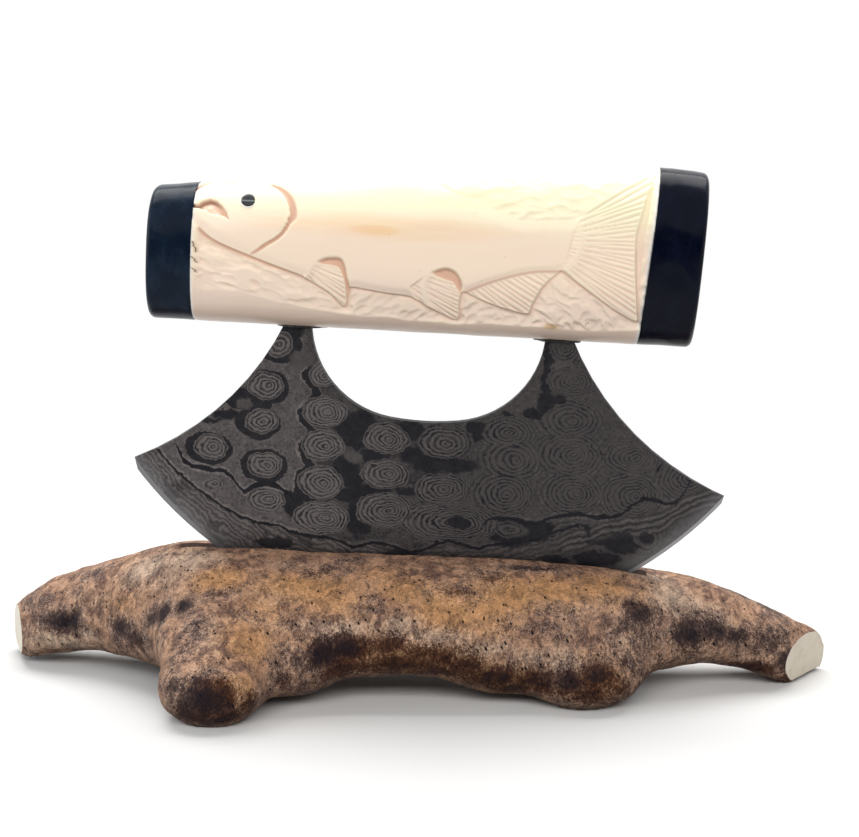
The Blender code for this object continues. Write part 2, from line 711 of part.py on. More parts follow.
def main():
    clear_scene()
    knife = make_knife_frame()
    make_blade(knife)
    make_handle(knife)
    make_stand(knife)
    bpy.context.view_layer.update()


main()
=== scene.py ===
import math
import random

import bmesh
import bpy
import numpy as np
from mathutils import Matrix, Vector, noise
from mathutils.bvhtree import BVHTree


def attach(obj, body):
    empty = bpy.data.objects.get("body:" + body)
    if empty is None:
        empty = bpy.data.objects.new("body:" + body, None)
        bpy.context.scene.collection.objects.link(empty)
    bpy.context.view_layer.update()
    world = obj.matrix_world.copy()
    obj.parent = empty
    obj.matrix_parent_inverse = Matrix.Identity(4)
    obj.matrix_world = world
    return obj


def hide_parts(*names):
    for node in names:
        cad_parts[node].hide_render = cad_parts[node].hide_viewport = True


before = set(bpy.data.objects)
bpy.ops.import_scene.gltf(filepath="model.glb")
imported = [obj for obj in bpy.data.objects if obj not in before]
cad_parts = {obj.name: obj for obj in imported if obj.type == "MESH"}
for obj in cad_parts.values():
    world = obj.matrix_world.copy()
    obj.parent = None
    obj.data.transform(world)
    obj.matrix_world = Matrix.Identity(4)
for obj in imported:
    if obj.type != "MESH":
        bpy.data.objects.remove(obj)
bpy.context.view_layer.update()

mm = 0.001

# The knife's own frame: X along the handle, Z up the blade, origin under the handle between the posts
knife = {"place": (0.0047, 0.0095, 0.0944), "lean": math.radians(2.7)}
knifeMatrix = Matrix.Translation(knife["place"]) @ Matrix.Rotation(knife["lean"], 4, "Y")


# Camera at the photograph's angle

view = {
    "azimuth": math.radians(3),
    "elevation": math.radians(12),
    "distance": 0.56,
    "target": Vector((0.00496, 0.0095, 0.0715)),
    "lens": 90.26,
    "sensor": 36,
}


def makeCamera():
    camera = bpy.data.objects.new("camera", bpy.data.cameras.new("camera"))
    bpy.context.scene.collection.objects.link(camera)
    a, e = view["azimuth"], view["elevation"]
    back = Vector((math.sin(a) * math.cos(e), -math.cos(a) * math.cos(e), math.sin(e)))
    camera.location = view["target"] + back * view["distance"]
    camera.rotation_mode = "QUATERNION"
    camera.rotation_quaternion = (-back).to_track_quat("-Z", "Y")
    camera.data.lens = view["lens"]
    camera.data.sensor_width = view["sensor"]
    bpy.context.scene.camera = camera
    bpy.context.scene.view_settings.view_transform = "Standard"
    print("camera ready")


makeCamera()


# Node helpers

making = {"tree": None}  # the node tree that new nodes go into


def feed(socket, value):
    if isinstance(value, bpy.types.NodeSocket):
        socket.id_data.links.new(value, socket)
    else:
        socket.default_value = value


def put(kind, inputs=None, **settings):
    node = making["tree"].nodes.new(kind)
    for key, value in settings.items():
        setattr(node, key, value)
    for key, value in (inputs or {}).items():
        feed(node.inputs[key], value)
    return node


def maths(operation, a, b=0.0, c=0.0, clamp=False):
    return put("ShaderNodeMath", {0: a, 1: b, 2: c}, operation=operation, use_clamp=clamp).outputs[0]


def times(a, b, clamp=False):
    return maths("MULTIPLY", a, b, clamp=clamp)


def timesPlus(a, b, c):
    return maths("MULTIPLY_ADD", a, b, c)


def plus(a, b, clamp=False):
    return maths("ADD", a, b, clamp=clamp)


def minus(a, b):
    return maths("SUBTRACT", a, b)


def larger(a, b):
    return maths("MAXIMUM", a, b)


def unsigned(a):
    return maths("ABSOLUTE", a)


def vectorMaths(operation, a, b=(0, 0, 0)):
    return put("ShaderNodeVectorMath", {0: a, 1: b}, operation=operation).outputs


def span(value, low, high, toLow=0.0, toHigh=1.0, smooth=True):
    sockets = {"Value": value, "From Min": low, "From Max": high, "To Min": toLow, "To Max": toHigh}
    kind = "SMOOTHSTEP" if smooth else "LINEAR"
    return put("ShaderNodeMapRange", sockets, interpolation_type=kind).outputs["Result"]


def mixColour(factor, a, b, blend="MIX"):
    node = put("ShaderNodeMix", data_type="RGBA", blend_type=blend)
    feed(node.inputs[0], factor)
    for socket, value in ((node.inputs[6], a), (node.inputs[7], b)):
        feed(socket, (*value, 1) if isinstance(value, tuple) and len(value) == 3 else value)
    return node.outputs[2]


def noiseAt(vector, scale, detail=3.0, roughness=0.5, distortion=0.0, output="Fac"):
    sockets = {"Vector": vector, "Scale": scale, "Detail": detail, "Roughness": roughness,
               "Distortion": distortion}
    return put("ShaderNodeTexNoise", sockets).outputs[output]


def stretched(vector, size):
    return vectorMaths("MULTIPLY", vector, size)[0]


def partsOf(vector):
    return put("ShaderNodeSeparateXYZ", {0: vector}).outputs


def vectorFrom(**parts):
    return put("ShaderNodeCombineXYZ", parts).outputs[0]


def attribute(name):
    return put("ShaderNodeAttribute", attribute_name=name).outputs["Fac"]


def colourRamp(value, stops):
    node = put("ShaderNodeValToRGB", {"Fac": value})
    ramp = node.color_ramp
    while len(ramp.elements) < len(stops):
        ramp.elements.new(0.5)
    for element, (place, colour) in zip(ramp.elements, stops):
        element.position = place
        element.color = (*colour, 1)
    return node.outputs["Color"]


def newMaterial(name):
    made = bpy.data.materials.new(name)
    made.use_nodes = True
    making["tree"] = made.node_tree
    return made, made.node_tree.nodes["Principled BSDF"]


def inKnifeFrame():
    sockets = {"Vector": put("ShaderNodeTexCoord").outputs["Object"], "Location": knife["place"],
               "Rotation": (0, knife["lean"], 0), "Scale": (mm, mm, mm)}
    return put("ShaderNodeMapping", sockets, vector_type="TEXTURE").outputs[0]


def inMillimetres():
    coords = put("ShaderNodeTexCoord").outputs["Object"]
    return stretched(coords, (1 / mm, 1 / mm, 1 / mm))


def newGroup(name, numbers, results):
    tree = making["tree"] = bpy.data.node_groups.new(name, "ShaderNodeTree")
    tree.interface.new_socket("Vector", in_out="INPUT", socket_type="NodeSocketVector")
    for way, sockets in (("INPUT", numbers), ("OUTPUT", results)):
        for socket in sockets:
            tree.interface.new_socket(socket, in_out=way, socket_type="NodeSocketFloat")
    return tree, put("NodeGroupInput").outputs, put("NodeGroupOutput").inputs


def mottleGroup():
    # cloudy variation with fine grain over it, both sizes in millimetres
    tree, entry, leave = newGroup("mottle", ("Size", "Grain Size", "Grain"), ("Cloud", "Grain"))
    cloud = noiseAt(entry["Vector"], maths("DIVIDE", 1.0, entry["Size"]), 4.0, 0.55)
    grain = noiseAt(entry["Vector"], maths("DIVIDE", 1.0, entry["Grain Size"]), 2.0, 0.6)
    feed(leave["Cloud"], timesPlus(minus(grain, 0.5), entry["Grain"], cloud))
    feed(leave["Grain"], grain)
    return tree


def poreGroup():
    # small dark pores scattered over a surface, as a mask
    tree, entry, leave = newGroup("pores", ("Spacing", "Radius", "Share"), ("Pore",))
    scale = maths("DIVIDE", 1.0, entry["Spacing"])
    cells = put("ShaderNodeTexVoronoi", {"Vector": entry["Vector"], "Scale": scale}).outputs
    inside = span(cells["Distance"], entry["Radius"], times(entry["Radius"], 0.4))
    chosen = put("ShaderNodeSeparateColor", {"Color": cells["Color"]}).outputs[0]
    kept = maths("LESS_THAN", chosen, entry["Share"])
    feed(leave["Pore"], times(inside, kept))
    return tree


mottleTree, poreTree = mottleGroup(), poreGroup()


def useGroup(group, *values):
    node = put("ShaderNodeGroup", node_tree=group)
    for socket, value in zip(node.inputs, values):
        feed(socket, value)
    return node.outputs


def useMottle(vector, size, grainSize, grain):
    made = useGroup(mottleTree, vector, size, grainSize, grain)
    return made["Cloud"], made["Grain"]


def usePores(vector, spacing, radius, share):
    return useGroup(poreTree, vector, spacing, radius, share)["Pore"]


def bump(height, distance, strength=1.0):
    sockets = {"Height": height, "Distance": distance * mm, "Strength": strength}
    return put("ShaderNodeBump", sockets).outputs["Normal"]


def setLook(shader, colour, rough, height, relief, strength=1.0):
    # relief: how deep the height's whole range is, in millimetres
    feed(shader.inputs["Base Color"], colour)
    feed(shader.inputs["Roughness"], rough)
    feed(shader.inputs["Normal"], bump(height, relief, strength))


# Mesh helpers


def newMesh(name, bm, materials=()):
    mesh = bpy.data.meshes.new(name)
    bm.to_mesh(mesh)
    bm.free()
    for item in materials:
        mesh.materials.append(item)
    return mesh


def newObject(name, data):
    made = bpy.data.objects.new(name, data)
    bpy.context.scene.collection.objects.link(made)
    return made


def finishPiece(name, bm, body, materials, replaced):
    mesh = newMesh(name, bm, materials)
    mesh.shade_smooth()
    piece = newObject(name, mesh)
    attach(piece, body)
    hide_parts(*replaced)
    print(name, len(mesh.polygons), "faces")
    return piece


def placeInKnifeFrame(bm):
    bmesh.ops.transform(bm, matrix=knifeMatrix @ Matrix.Scale(mm, 4), verts=bm.verts)


def paintLayer(bm, name, values):
    # a value for each vertex, which the materials read by its name
    layer = bm.verts.layers.float.new(name)
    for v, value in zip(bm.verts, values):
        v[layer] = value


def dress(node, look):
    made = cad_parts[node]
    made.data.materials.clear()
    made.data.materials.append(look)


def ease(value, low, high):
    t = np.clip((value - low) / (high - low), 0, 1)
    return t * t * (3 - 2 * t)


def smoothLine(points, steps=4):
    # a rounder line through the same points
    p = np.array(points, float)
    p = np.vstack([2 * p[0] - p[1], p, 2 * p[-1] - p[-2]])
    made = []
    for i in range(1, len(p) - 2):
        for k in range(steps):
            t = k / steps
            a = p[i - 1] * (-t + 2 * t**2 - t**3) + p[i] * (2 - 5 * t**2 + 3 * t**3)
            b = p[i + 1] * (t + 4 * t**2 - 3 * t**3) + p[i + 2] * (-t**2 + t**3)
            made.append((a + b) / 2)
    made.append(p[-2])
    return np.array(made)


def lineDistance(x, z, line):
    # distance to an open line, and how far along it the nearest point is, from 0 to 1
    nearest = np.full(x.shape, 1e9)
    along = np.zeros(x.shape)
    for i in range(len(line) - 1):
        a, d = line[i], line[i + 1] - line[i]
        t = np.clip(((x - a[0]) * d[0] + (z - a[1]) * d[1]) / max(d @ d, 1e-12), 0, 1)
        distance = np.hypot(x - a[0] - t * d[0], z - a[1] - t * d[1])
        closer = distance < nearest
        nearest = np.where(closer, distance, nearest)
        along = np.where(closer, (i + t) / (len(line) - 1), along)
    return nearest, along


def insideDistance(x, z, outline):
    # distance to a closed outline, positive inside
    line = np.array(outline, float)
    closed = np.vstack([line, line[:1]])
    distance, _ = lineDistance(x, z, closed)
    inside = np.zeros(x.shape, bool)
    for a, b in zip(closed, closed[1:]):
        if a[1] != b[1]:
            crosses = (a[1] > z) != (b[1] > z)
            inside ^= crosses & (x < (b[0] - a[0]) * (z - a[1]) / (b[1] - a[1]) + a[0])
    return np.where(inside, distance, -distance)


def blurred(field, passes):
    made = field.copy()
    for _ in range(passes):
        padded = np.pad(made, 1, mode="edge")
        made = (padded[:-2, 1:-1] + padded[2:, 1:-1] + padded[1:-1, :-2] + padded[1:-1, 2:] + 2 * made) / 6
    return made


# Handle: an oval body in three pieces, in millimetres in the knife's frame

oval = {
    "leftEnd": -71.645, "rightEnd": 67.045, "peak": 54.0,
    "height": 45.1, "dropLeft": 11.1, "dropRight": 0.9, "taperPower": 1.4,
    "halfLeft": 13.5, "halfRight": 15.0, "power": 2.4,
    "endLean": 1.8, "endRounding": 1.5,
    "leftSeam": -60.145, "rightSeam": 53.345, "seamLean": 3.1, "seamGap": 0.03,
}


def topOf(x):
    past = np.clip((x - oval["peak"]) / (oval["rightEnd"] - oval["peak"]), 0, None)
    before = np.clip((oval["peak"] - x) / (oval["peak"] - oval["leftEnd"]), 0, None)
    return oval["height"] - oval["dropRight"] * past**2 - oval["dropLeft"] * before ** oval["taperPower"]


def halfOf(x):
    along = (x - oval["leftEnd"]) / (oval["rightEnd"] - oval["leftEnd"])
    return oval["halfLeft"] * (1 - along) + oval["halfRight"] * along


def roundedPower(value):
    return np.sign(value) * np.abs(value) ** (2 / oval["power"])


def spreadAngles(count, frontWeight):
    # angles round the oval, closer together on the front, from the back round over the top
    fine = np.linspace(0, 2 * np.pi, 4001)
    y = halfOf(0) * roundedPower(np.cos(fine))
    z = topOf(0) / 2 * roundedPower(np.sin(fine))
    step = np.hypot(np.diff(y), np.diff(z))
    middle = (fine[1:] + fine[:-1]) / 2
    onFront = ease(-np.cos(middle), 0.08, 0.3)
    length = np.concatenate([[0], np.cumsum(step * (1 + (frontWeight - 1) * onFront))])
    return np.interp(np.linspace(0, length[-1], count + 1), length, fine)


def ovalSleeve(stations, angles, startPlane, endPlane):
    # a grid bent round the oval between two planes x = a + b * z. Each station is
    # (share of the way, how far drawn in, share of its size kept)
    bm = bmesh.new()
    columns, rows = len(stations) - 1, len(angles) - 1
    bmesh.ops.create_grid(bm, x_segments=columns, y_segments=rows, size=1)
    bm.verts.ensure_lookup_table()
    flat = np.array([v.co[:2] for v in bm.verts])
    across = np.rint((flat[:, 0] + 1) / 2 * columns).astype(int)
    around = np.rint((flat[:, 1] + 1) / 2 * rows).astype(int)
    share, drawn, kept = (np.array(column, float)[across] for column in zip(*stations))
    angle = np.where(around == rows, angles[0], angles[around])
    nominal = startPlane[0] + share * (endPlane[0] - startPlane[0])
    half, top = halfOf(nominal) - drawn, topOf(nominal) - 2 * drawn
    y = half * roundedPower(np.cos(angle)) * kept
    z = drawn + top / 2 + top / 2 * roundedPower(np.sin(angle)) * kept
    start, end = startPlane[0] + startPlane[1] * z, endPlane[0] + endPlane[1] * z
    x = start + share * (end - start)
    rise = (z - drawn - top / 2) / (top / 2)
    outY = np.sign(y) * np.abs(y / half) ** (oval["power"] - 1) / half
    outZ = np.sign(rise) * np.abs(rise) ** (oval["power"] - 1) / (top / 2)
    size = np.hypot(outY, outZ) + 1e-9
    return bm, across, around, np.stack([x, y, z], 1), np.stack([outY / size, outZ / size], 1)


def closeSleeve(bm, places):
    for v, place in zip(bm.verts, places):
        v.co = place
    bmesh.ops.remove_doubles(bm, verts=bm.verts, dist=0.0005)
    rims = [e for e in bm.edges if e.is_boundary]
    bmesh.ops.holes_fill(bm, edges=rims, sides=0)
    bmesh.ops.recalc_face_normals(bm, faces=bm.faces)
    placeInKnifeFrame(bm)


seamSlope = oval["seamLean"] / oval["height"]
leftSeam = (oval["leftSeam"] + oval["seamGap"] / 2, 0)
rightSeam = (oval["rightSeam"] - oval["seamGap"] / 2, seamSlope)


# Carving on the handle's front: outlines in millimetres, x along the handle and z up from its underside

carving = {
    "columns": 372, "rows": 262, "frontWeight": 2.6,
    "fineStretches": ((-31, -18), (-6, 10), (9, 33), (35, 53)), "fineWeight": 1.7,
    "groundDepth": 1.25, "upperDepth": 0.34,
    "bodyRounding": 0.55, "bodyRoundingWidth": 3.0,
    "gouges": 1000, "gougeLength": (1.8, 3.8), "gougeWidth": (0.8, 1.5), "gougeDepth": 0.6,
    "gillDepth": 0.8, "mouthDepth": 0.95, "hollowDepth": 1.35,
    "rayDepth": 0.34, "chamfer": (0.12, 0.03), "wander": 0.12, "ripple": 0.018,
    "blurPasses": 10, "hollowGain": 2.2,
}
fishOutline = [(-61.5, 28.4), (-59.9, 27.2), (-58.5, 25.8), (-55, 23), (-50, 20.8), (-45, 19), (-40, 17.3),
               (-35, 15.7), (-31.5, 14.5), (-28, 12.5), (-24, 9.8), (-21.4, 6.9), (-20.6, 8), (-20.4, 10.5),
               (-19.5, 12.3), (-15, 11.8), (-10, 11.2), (-5, 10.8), (-3, 10), (0, 8.3), (4, 6.2),
               (7.5, 4.7), (7.8, 7), (7.7, 9), (8.2, 12.2), (9.8, 12.5), (13, 11), (17, 9.5), (21, 8.4),
               (25.2, 7.6), (26, 10), (28, 14.3), (29.5, 16.5), (31.5, 18.4), (33, 19.5), (36, 17.6),
               (40, 14.8), (45, 11.3), (49, 8.8), (52.6, 7.1), (52.5, 9), (52.2, 12), (51.6, 17),
               (51.2, 21), (50.9, 26), (50.8, 29.5), (51.5, 33), (52.5, 37), (53.5, 40), (54.9, 43.6),
               (50, 42), (45, 39), (40, 35.5), (36, 32.4), (30, 31.8), (22, 31.3), (17, 33), (11, 35.3),
               (5, 37), (-3, 39.5), (-8, 42), (-12, 50), (-61.5, 50)]
rimLine = [(-62, 11), (-59, 10.2), (-56, 9.4), (-53, 9.9), (-50, 9.5), (-47.5, 9.8), (-45, 8.9), (-41, 8.3),
           (-38, 7.4), (-35, 7.1), (-30, 6.1), (-25, 5.6), (-20, 5.1), (-15, 4.6), (-10, 4.8), (-5, 4.1),
           (0, 4.3), (8, 3.9), (15, 4.6), (22, 4.3), (30, 4.4), (38, 3.9), (45, 4.3), (53, 5), (58, 5.2)]
fins = {
    "pectoral": {
        "outline": [(-28.7, 18.0), (-25.5, 17.8), (-23.5, 17.6), (-22.5, 17.1), (-21.8, 15.8),
                    (-21.1, 13.8), (-20.7, 11), (-20.7, 8.6), (-21.4, 6.9), (-24, 9.8), (-28, 12.5),
                    (-31.5, 14.4)],
        "root": [(-28.9, 18.4), (-31.8, 14.2)], "rootBlend": 2.5, "levels": (0.05, 0.6),
        "fan": (-35.5, 19.8), "angles": (-45, -9), "rays": 9,
    },
    "pelvic": {
        "outline": [(-4.6, 13.4), (-3.8, 11.6), (-3, 10.2), (0, 8.4), (4, 6.3), (7.4, 4.9), (7.8, 7),
                    (7.7, 9), (8.0, 11.4), (7.5, 13.1), (6.4, 14.9), (5, 15.4), (2.5, 16.2), (0, 17.2)],
        "root": [(0.5, 18), (-1.2, 14), (0.5, 7.5)], "rootBlend": 2.0, "levels": (0.05, 0.5),
        "fan": (-13, 19), "angles": (-34, -8), "rays": 10,
    },
    "anal": {
        "outline": [(9.4, 12.7), (12, 14), (16, 15.8), (20, 17.2), (25, 18.7), (30, 19.3), (32.8, 19.4),
                    (31.5, 18.4), (29.5, 16.5), (28, 14.3), (26, 10), (25.2, 7.6), (21, 8.4), (17, 9.5),
                    (13, 11)],
        "root": [(9.4, 12.7), (16, 15.8), (25, 18.7), (32.8, 19.4)], "rootBlend": 6.0, "levels": (0.62, 0.4),
        "fan": (-50, 58), "angles": (-38.3, -24.5), "rays": 17,
    },
    "tail": {
        "outline": [(33.5, 19.9), (36, 17.8), (40, 15), (45, 11.5), (49, 9), (52.6, 7.1), (52.5, 9),
                    (52.2, 12), (51.6, 17), (51.2, 21), (50.9, 26), (50.8, 29.5), (51.5, 33), (52.5, 37),
                    (53.5, 40), (54.9, 43.6), (50, 42), (45, 39), (40, 35.5), (36, 32.4)],
        "root": [(35.5, 33.5), (37.2, 29), (37.6, 26.5), (36.2, 22.5), (33.6, 19.4)], "rootBlend": 4.0,
        "levels": (0.0, 0.42), "fan": (26.2, 26.7), "angles": (-37.5, 31.5), "rays": 24,
    },
}
hollows = [
    [(-28.9, 18.2), (-27, 19.7), (-24.5, 20.3), (-22.3, 20.2), (-21.1, 19.3), (-20.3, 17.3), (-19.9, 15),
     (-19.0, 12.6), (-19.0, 10.2), (-20, 8.2), (-21.5, 8.6), (-22, 14), (-24, 16.8), (-27, 17.4)],
    [(0.0, 17.3), (1.5, 18.3), (3.2, 19), (5, 19.1), (6.9, 18.3), (8.3, 16.6), (9.1, 14.6), (8.9, 12.8),
     (8.0, 11.5), (6.5, 12.5), (5, 14.2), (2, 15.6)],
    [(56.2, 44.6), (55.3, 40), (54.7, 36), (54.2, 31), (53.9, 26), (53.7, 20), (53.4, 14), (53.1, 8.6),
     (51.6, 8.2), (50.9, 17), (50.2, 26), (50.2, 30), (51.8, 37), (53.8, 43.6)],
]
gillLine = [(-41.4, 36.5), (-39.6, 35.9), (-38, 34.9), (-36.6, 33.4), (-35.7, 31.8), (-35.3, 30.2),
            (-35.5, 28.8), (-36.1, 27.2), (-37.2, 25.4), (-38.6, 24), (-41, 22.4), (-43, 20.9),
            (-44.9, 19.5)]
mouthArch = [(-60.6, 30.9), (-59, 30.9), (-57.8, 31.7), (-56, 32.3), (-54.3, 31.9), (-52.8, 30.8),
             (-51.6, 29.4), (-50.8, 27.6)]
mouthOutline = [(-60.8, 31.1), (-59, 31.0), (-57.8, 31.9), (-56, 32.5), (-54.2, 32.1), (-52.6, 31.0),
                (-51.3, 29.5), (-50.5, 27.5), (-51.8, 28.4), (-53.5, 28.5), (-55.2, 28.7), (-57, 29.5),
                (-58.6, 30.1), (-60.8, 30.2)]
browLine = [(-60.6, 33.8), (-59.3, 34.9), (-57.6, 35.8), (-55, 36.3), (-50.5, 36.7)]


def finDepth(x, z, fin):
    # the fin's sloping level, with rays fanning from one point; every other ray starts further out
    inside = insideDistance(x, z, smoothLine(fin["outline"], 2))
    fromRoot, _ = lineDistance(x, z, smoothLine(fin["root"]))
    out = ease(fromRoot, 0, fin["rootBlend"])
    level = fin["levels"][0] + (fin["levels"][1] - fin["levels"][0]) * out
    angle = np.degrees(np.arctan2(z - fin["fan"][1], x - fin["fan"][0]))
    low, high = fin["angles"]
    phase = (angle - low) / (high - low) * fin["rays"]
    phase = phase + 0.14 * np.sin(phase * 1.7 + x * 0.3)
    pitch = np.hypot(x - fin["fan"][0], z - fin["fan"][1]) * math.radians(high - low) / fin["rays"]
    every = ease(pitch, 0.72, 1.0)
    few = ease(np.abs((phase / 2 % 1) - 0.5) * 2, 0.6, 1.0)
    many = ease(np.abs((phase % 1) - 0.5) * 2, 0.25, 1.0)
    grooves = (few + (many - few) * every) * ease(fromRoot, 0.1, 1.3) * ease(inside, 0, 0.4)
    return inside, level, grooves


def gougeCuts(x, z):
    # overlapping gouge cuts, each a shallow bowl drawn out along the tool's path
    random.seed(11)
    depth = np.zeros(x.shape)
    for _ in range(carving["gouges"]):
        cx, cz = random.uniform(-60, 57), random.uniform(3, 46)
        if cz > 25:
            angle = random.uniform(-25, 25)
        elif cx < -22:
            angle = random.uniform(-32, 8)
        elif cx < 8:
            angle = random.uniform(15, 60)
        else:
            angle = random.uniform(-80, 80)
        along, up = math.cos(math.radians(angle)), math.sin(math.radians(angle))
        length, width = random.uniform(*carving["gougeLength"]), random.uniform(*carving["gougeWidth"])
        strength = random.uniform(0.6, 1)
        close = (np.abs(x - cx) < length) & (np.abs(z - cz) < length)
        dx, dz = x[close] - cx, z[close] - cz
        bowl = 1 - ((dx * along + dz * up) / length) ** 2 - ((dz * along - dx * up) / width) ** 2
        depth[close] = np.maximum(depth[close], bowl * strength)
    return depth


def grooveCut(x, z, line, side, inner, outer):
    # a groove that is steep on one side of its line and wide on the other
    distance, along = lineDistance(x, z, smoothLine(line))
    return np.where(side, 1 - ease(distance, 0, outer(along)), 1 - ease(distance, 0, inner)), distance, along


def gillWidth(along):
    # how wide the gill groove is behind its line: wide above, narrow below
    return 0.15 + 2.1 * ease(along, 0, 0.3) * ease(along, 0.58, 0.44) + 0.7 * ease(along, 0.4, 0.6)


def carvedDepth(x, z):
    # how deep the carving is below the handle's smooth oval, and how brown its cuts and recesses are: partly
    # brown stain, partly painted shade
    fish = insideDistance(x, z, smoothLine(fishOutline + fishOutline[:1], 3)[:-1])
    rim = z - np.interp(x, *np.array(smoothLine(rimLine)).T)
    away = np.clip(-fish, 0, None)
    share = np.clip(rim, 0, None) / (np.clip(rim, 0, None) + np.maximum(away, 0.25))
    lower = share**0.7 * ease(rim, 0, 0.8) * ease(x, -59.3, -57.2) * ease(z, 34, 26)
    upper = ease(x, -9, 2) * ease(z, 22, 28) * ease(topOf(x) - z, -0.5, 2.5) * (1 - 0.4 * ease(away, 0, 9))
    panel = np.maximum(lower * carving["groundDepth"], upper * carving["upperDepth"])
    rough = ease(panel, 0.04, 0.3) * ease(away, 0.1, 1.3)
    shallow = 1 - 0.5 * ease(z, 22, 26)
    ground = panel + (gougeCuts(x, z) - 0.45) * carving["gougeDepth"] * rough * shallow
    body = carving["bodyRounding"] * (1 - ease(fish, 0, carving["bodyRoundingWidth"])) ** 1.5
    analRoot, _ = lineDistance(x, z, smoothLine(fins["anal"]["root"]))
    body = np.maximum(body, 0.5 * (1 - ease(analRoot, 0, 2.2)) ** 1.5)
    body = body * np.maximum(ease(x, -62, -58) * ease(z, 33, 26), 0.4 * ease(x, -9, -2))

    slanted = np.array(sorted((b, a + (b - 27) * 0.12) for a, b in smoothLine(gillLine))).T
    behind = x + (z - 27) * 0.12 > np.interp(z, *slanted)
    cut, gill, along = grooveCut(x, z, gillLine, behind, 0.3, gillWidth)
    cut = cut * ease(along, -0.02, 0.04) * ease(along, 1.02, 0.85)
    body = np.maximum(body, cut * carving["gillDepth"])
    lowerGill = 0.3 * (1 - ease(gill, 0.1, 0.6)) * ease(along, 0.3, 0.6)
    stainAndShade = np.clip(cut * 1.2, 0, 0.45) + lowerGill

    mouth = insideDistance(x, z, mouthOutline)
    arch, archAlong = lineDistance(x, z, smoothLine(mouthArch))
    mouthCut = ease(mouth, -0.1, 0.25) * (1 - 0.75 * ease(arch, 0.2, 2.4))
    body = np.maximum(body, mouthCut * carving["mouthDepth"])
    # the mouth's brown, darkest under its upper arch, is partly stain and partly painted shade
    mouthStainAndShade = ease(mouth, -0.1, 0.3) * (1 - 0.7 * ease(arch, 0.2, 2.2))
    stainAndShade = np.maximum(stainAndShade, mouthStainAndShade * (0.45 + 0.55 * ease(archAlong, 0.95, 0.5)))

    brow, _ = lineDistance(x, z, smoothLine(browLine))
    above = z > np.interp(x, *np.array(smoothLine(browLine)).T)
    browCut = np.where(above, 1 - ease(brow, 0, 1.2), 1 - ease(brow, 0, 0.3)) * ease(x, -48.5, -50.5)
    body = np.maximum(body, 0.35 * browCut)
    stainAndShade = np.maximum(stainAndShade, 0.9 * (1 - ease(brow, 0.15, 0.75)) * ease(x, -48.5, -50))

    mask = ease(fish, -0.35, 0.2)
    depth = body * mask + ground * (1 - mask)
    # a brown band on the ground beside the fish's edge: painted shadow under the edge, and stain along the
    # outline
    slope = 0.55 * (1 - ease(away, 0.4, 2.6)) * ease(fish, 0.3, -0.1)
    edgeStainAndShade = np.maximum(1 - ease(np.abs(fish + 0.3), 0.15, 0.8), slope) * ease(panel, 0.2, 0.7)
    stainAndShade = np.maximum(stainAndShade, edgeStainAndShade * (0.26 + 0.24 * ease(x, -20, -50)) * ease(z, 30, 24))

    # the hollows behind the fins are browned, partly as stain and partly as painted shade
    for outline, brown in zip(hollows, (0.42, 0.42, 0.16)):
        inside = insideDistance(x, z, smoothLine(outline + outline[:1], 2)[:-1])
        depth = np.maximum(depth, carving["hollowDepth"] * ease(inside, -0.1, 1.5) * ease(inside, -0.2, 0.2))
        stainAndShade = np.maximum(stainAndShade, brown * ease(inside, 0.1, 1.0))
    for fin in fins.values():
        inside, level, grooves = finDepth(x, z, fin)
        cover = ease(inside, -0.15, 0.25)
        depth = depth * (1 - cover) + (level + carving["rayDepth"] * grooves) * cover
        stainAndShade = stainAndShade * (1 - cover) + 0.24 * grooves * cover
    stainAndShade = np.maximum(stainAndShade, 0.35 * (1 - ease(analRoot, 0.1, 0.7)))
    return depth, stainAndShade


def columnShares():
    # stations along the core, closer together where the fins are
    x = np.linspace(leftSeam[0], rightSeam[0], 2001)
    weight = np.ones(len(x))
    for low, high in carving["fineStretches"]:
        inside = ease(x, low - 2, low) * ease(x, high + 2, high)
        weight = np.maximum(weight, 1 + (carving["fineWeight"] - 1) * inside)
    length = np.concatenate([[0], np.cumsum((weight[1:] + weight[:-1]) / 2)])
    return np.interp(np.linspace(0, length[-1], carving["columns"] + 1), length, np.linspace(0, 1, len(x)))


def makeCore(look):
    angles = spreadAngles(carving["rows"], carving["frontWeight"])
    shares = columnShares()
    deep, shallow = carving["chamfer"]
    chamfer = {0: deep, 1: shallow, len(shares) - 2: shallow, len(shares) - 1: deep}
    stations = [(share, chamfer.get(i, 0), 1) for i, share in enumerate(shares)]
    bm, across, around, places, out = ovalSleeve(stations, angles, leftSeam, rightSeam)
    x, z = places[:, 0], places[:, 2]
    depth, stainAndShade = carvedDepth(x, z)
    front = ease(-out[:, 0], 0.04, 0.22)
    wander = np.array([noise.noise(Vector(p) * 0.11) for p in places]) * carving["wander"]
    fine = np.array([noise.noise(Vector(p) * 0.9) for p in places]) * carving["ripple"]
    depth = depth * front + wander * ease(x, -60.1, -57) * ease(x, 53, 50) + fine
    grid = np.zeros((len(shares), len(angles)))
    grid[across, around] = depth
    # how hollow each point lies against its surroundings: read by the ivory for painted shade in recesses
    # and painted highlight on raised relief
    hollow = (grid - blurred(grid, carving["blurPasses"]))[across, around]
    places[:, 1:] -= out * depth[:, None]
    paintLayer(bm, "stainAndShade", np.clip(stainAndShade * front, 0, 1))
    paintLayer(bm, "hollow", np.clip(hollow * carving["hollowGain"] * front + 0.5, 0, 1))
    closeSleeve(bm, places)
    return finishPiece("carvedHandle", bm, "knife", [look], ["handle_core"])


# End caps, closed over their end face by smaller and smaller rings

cap = {
    "rows": 150, "frontWeight": 1.4, "stations": 26, "rimSteps": 8,
    "faceSteps": (0.93, 0.8, 0.6, 0.4, 0.2, 0.04),  # the rings' sizes as shares of the rim
    "seamShare": 0.012, "bulge": 0.012,  # shares of the cap's length
    "seamBevel": 0.1, "wander": 0.16, "facets": 0.1,  # in millimetres
}


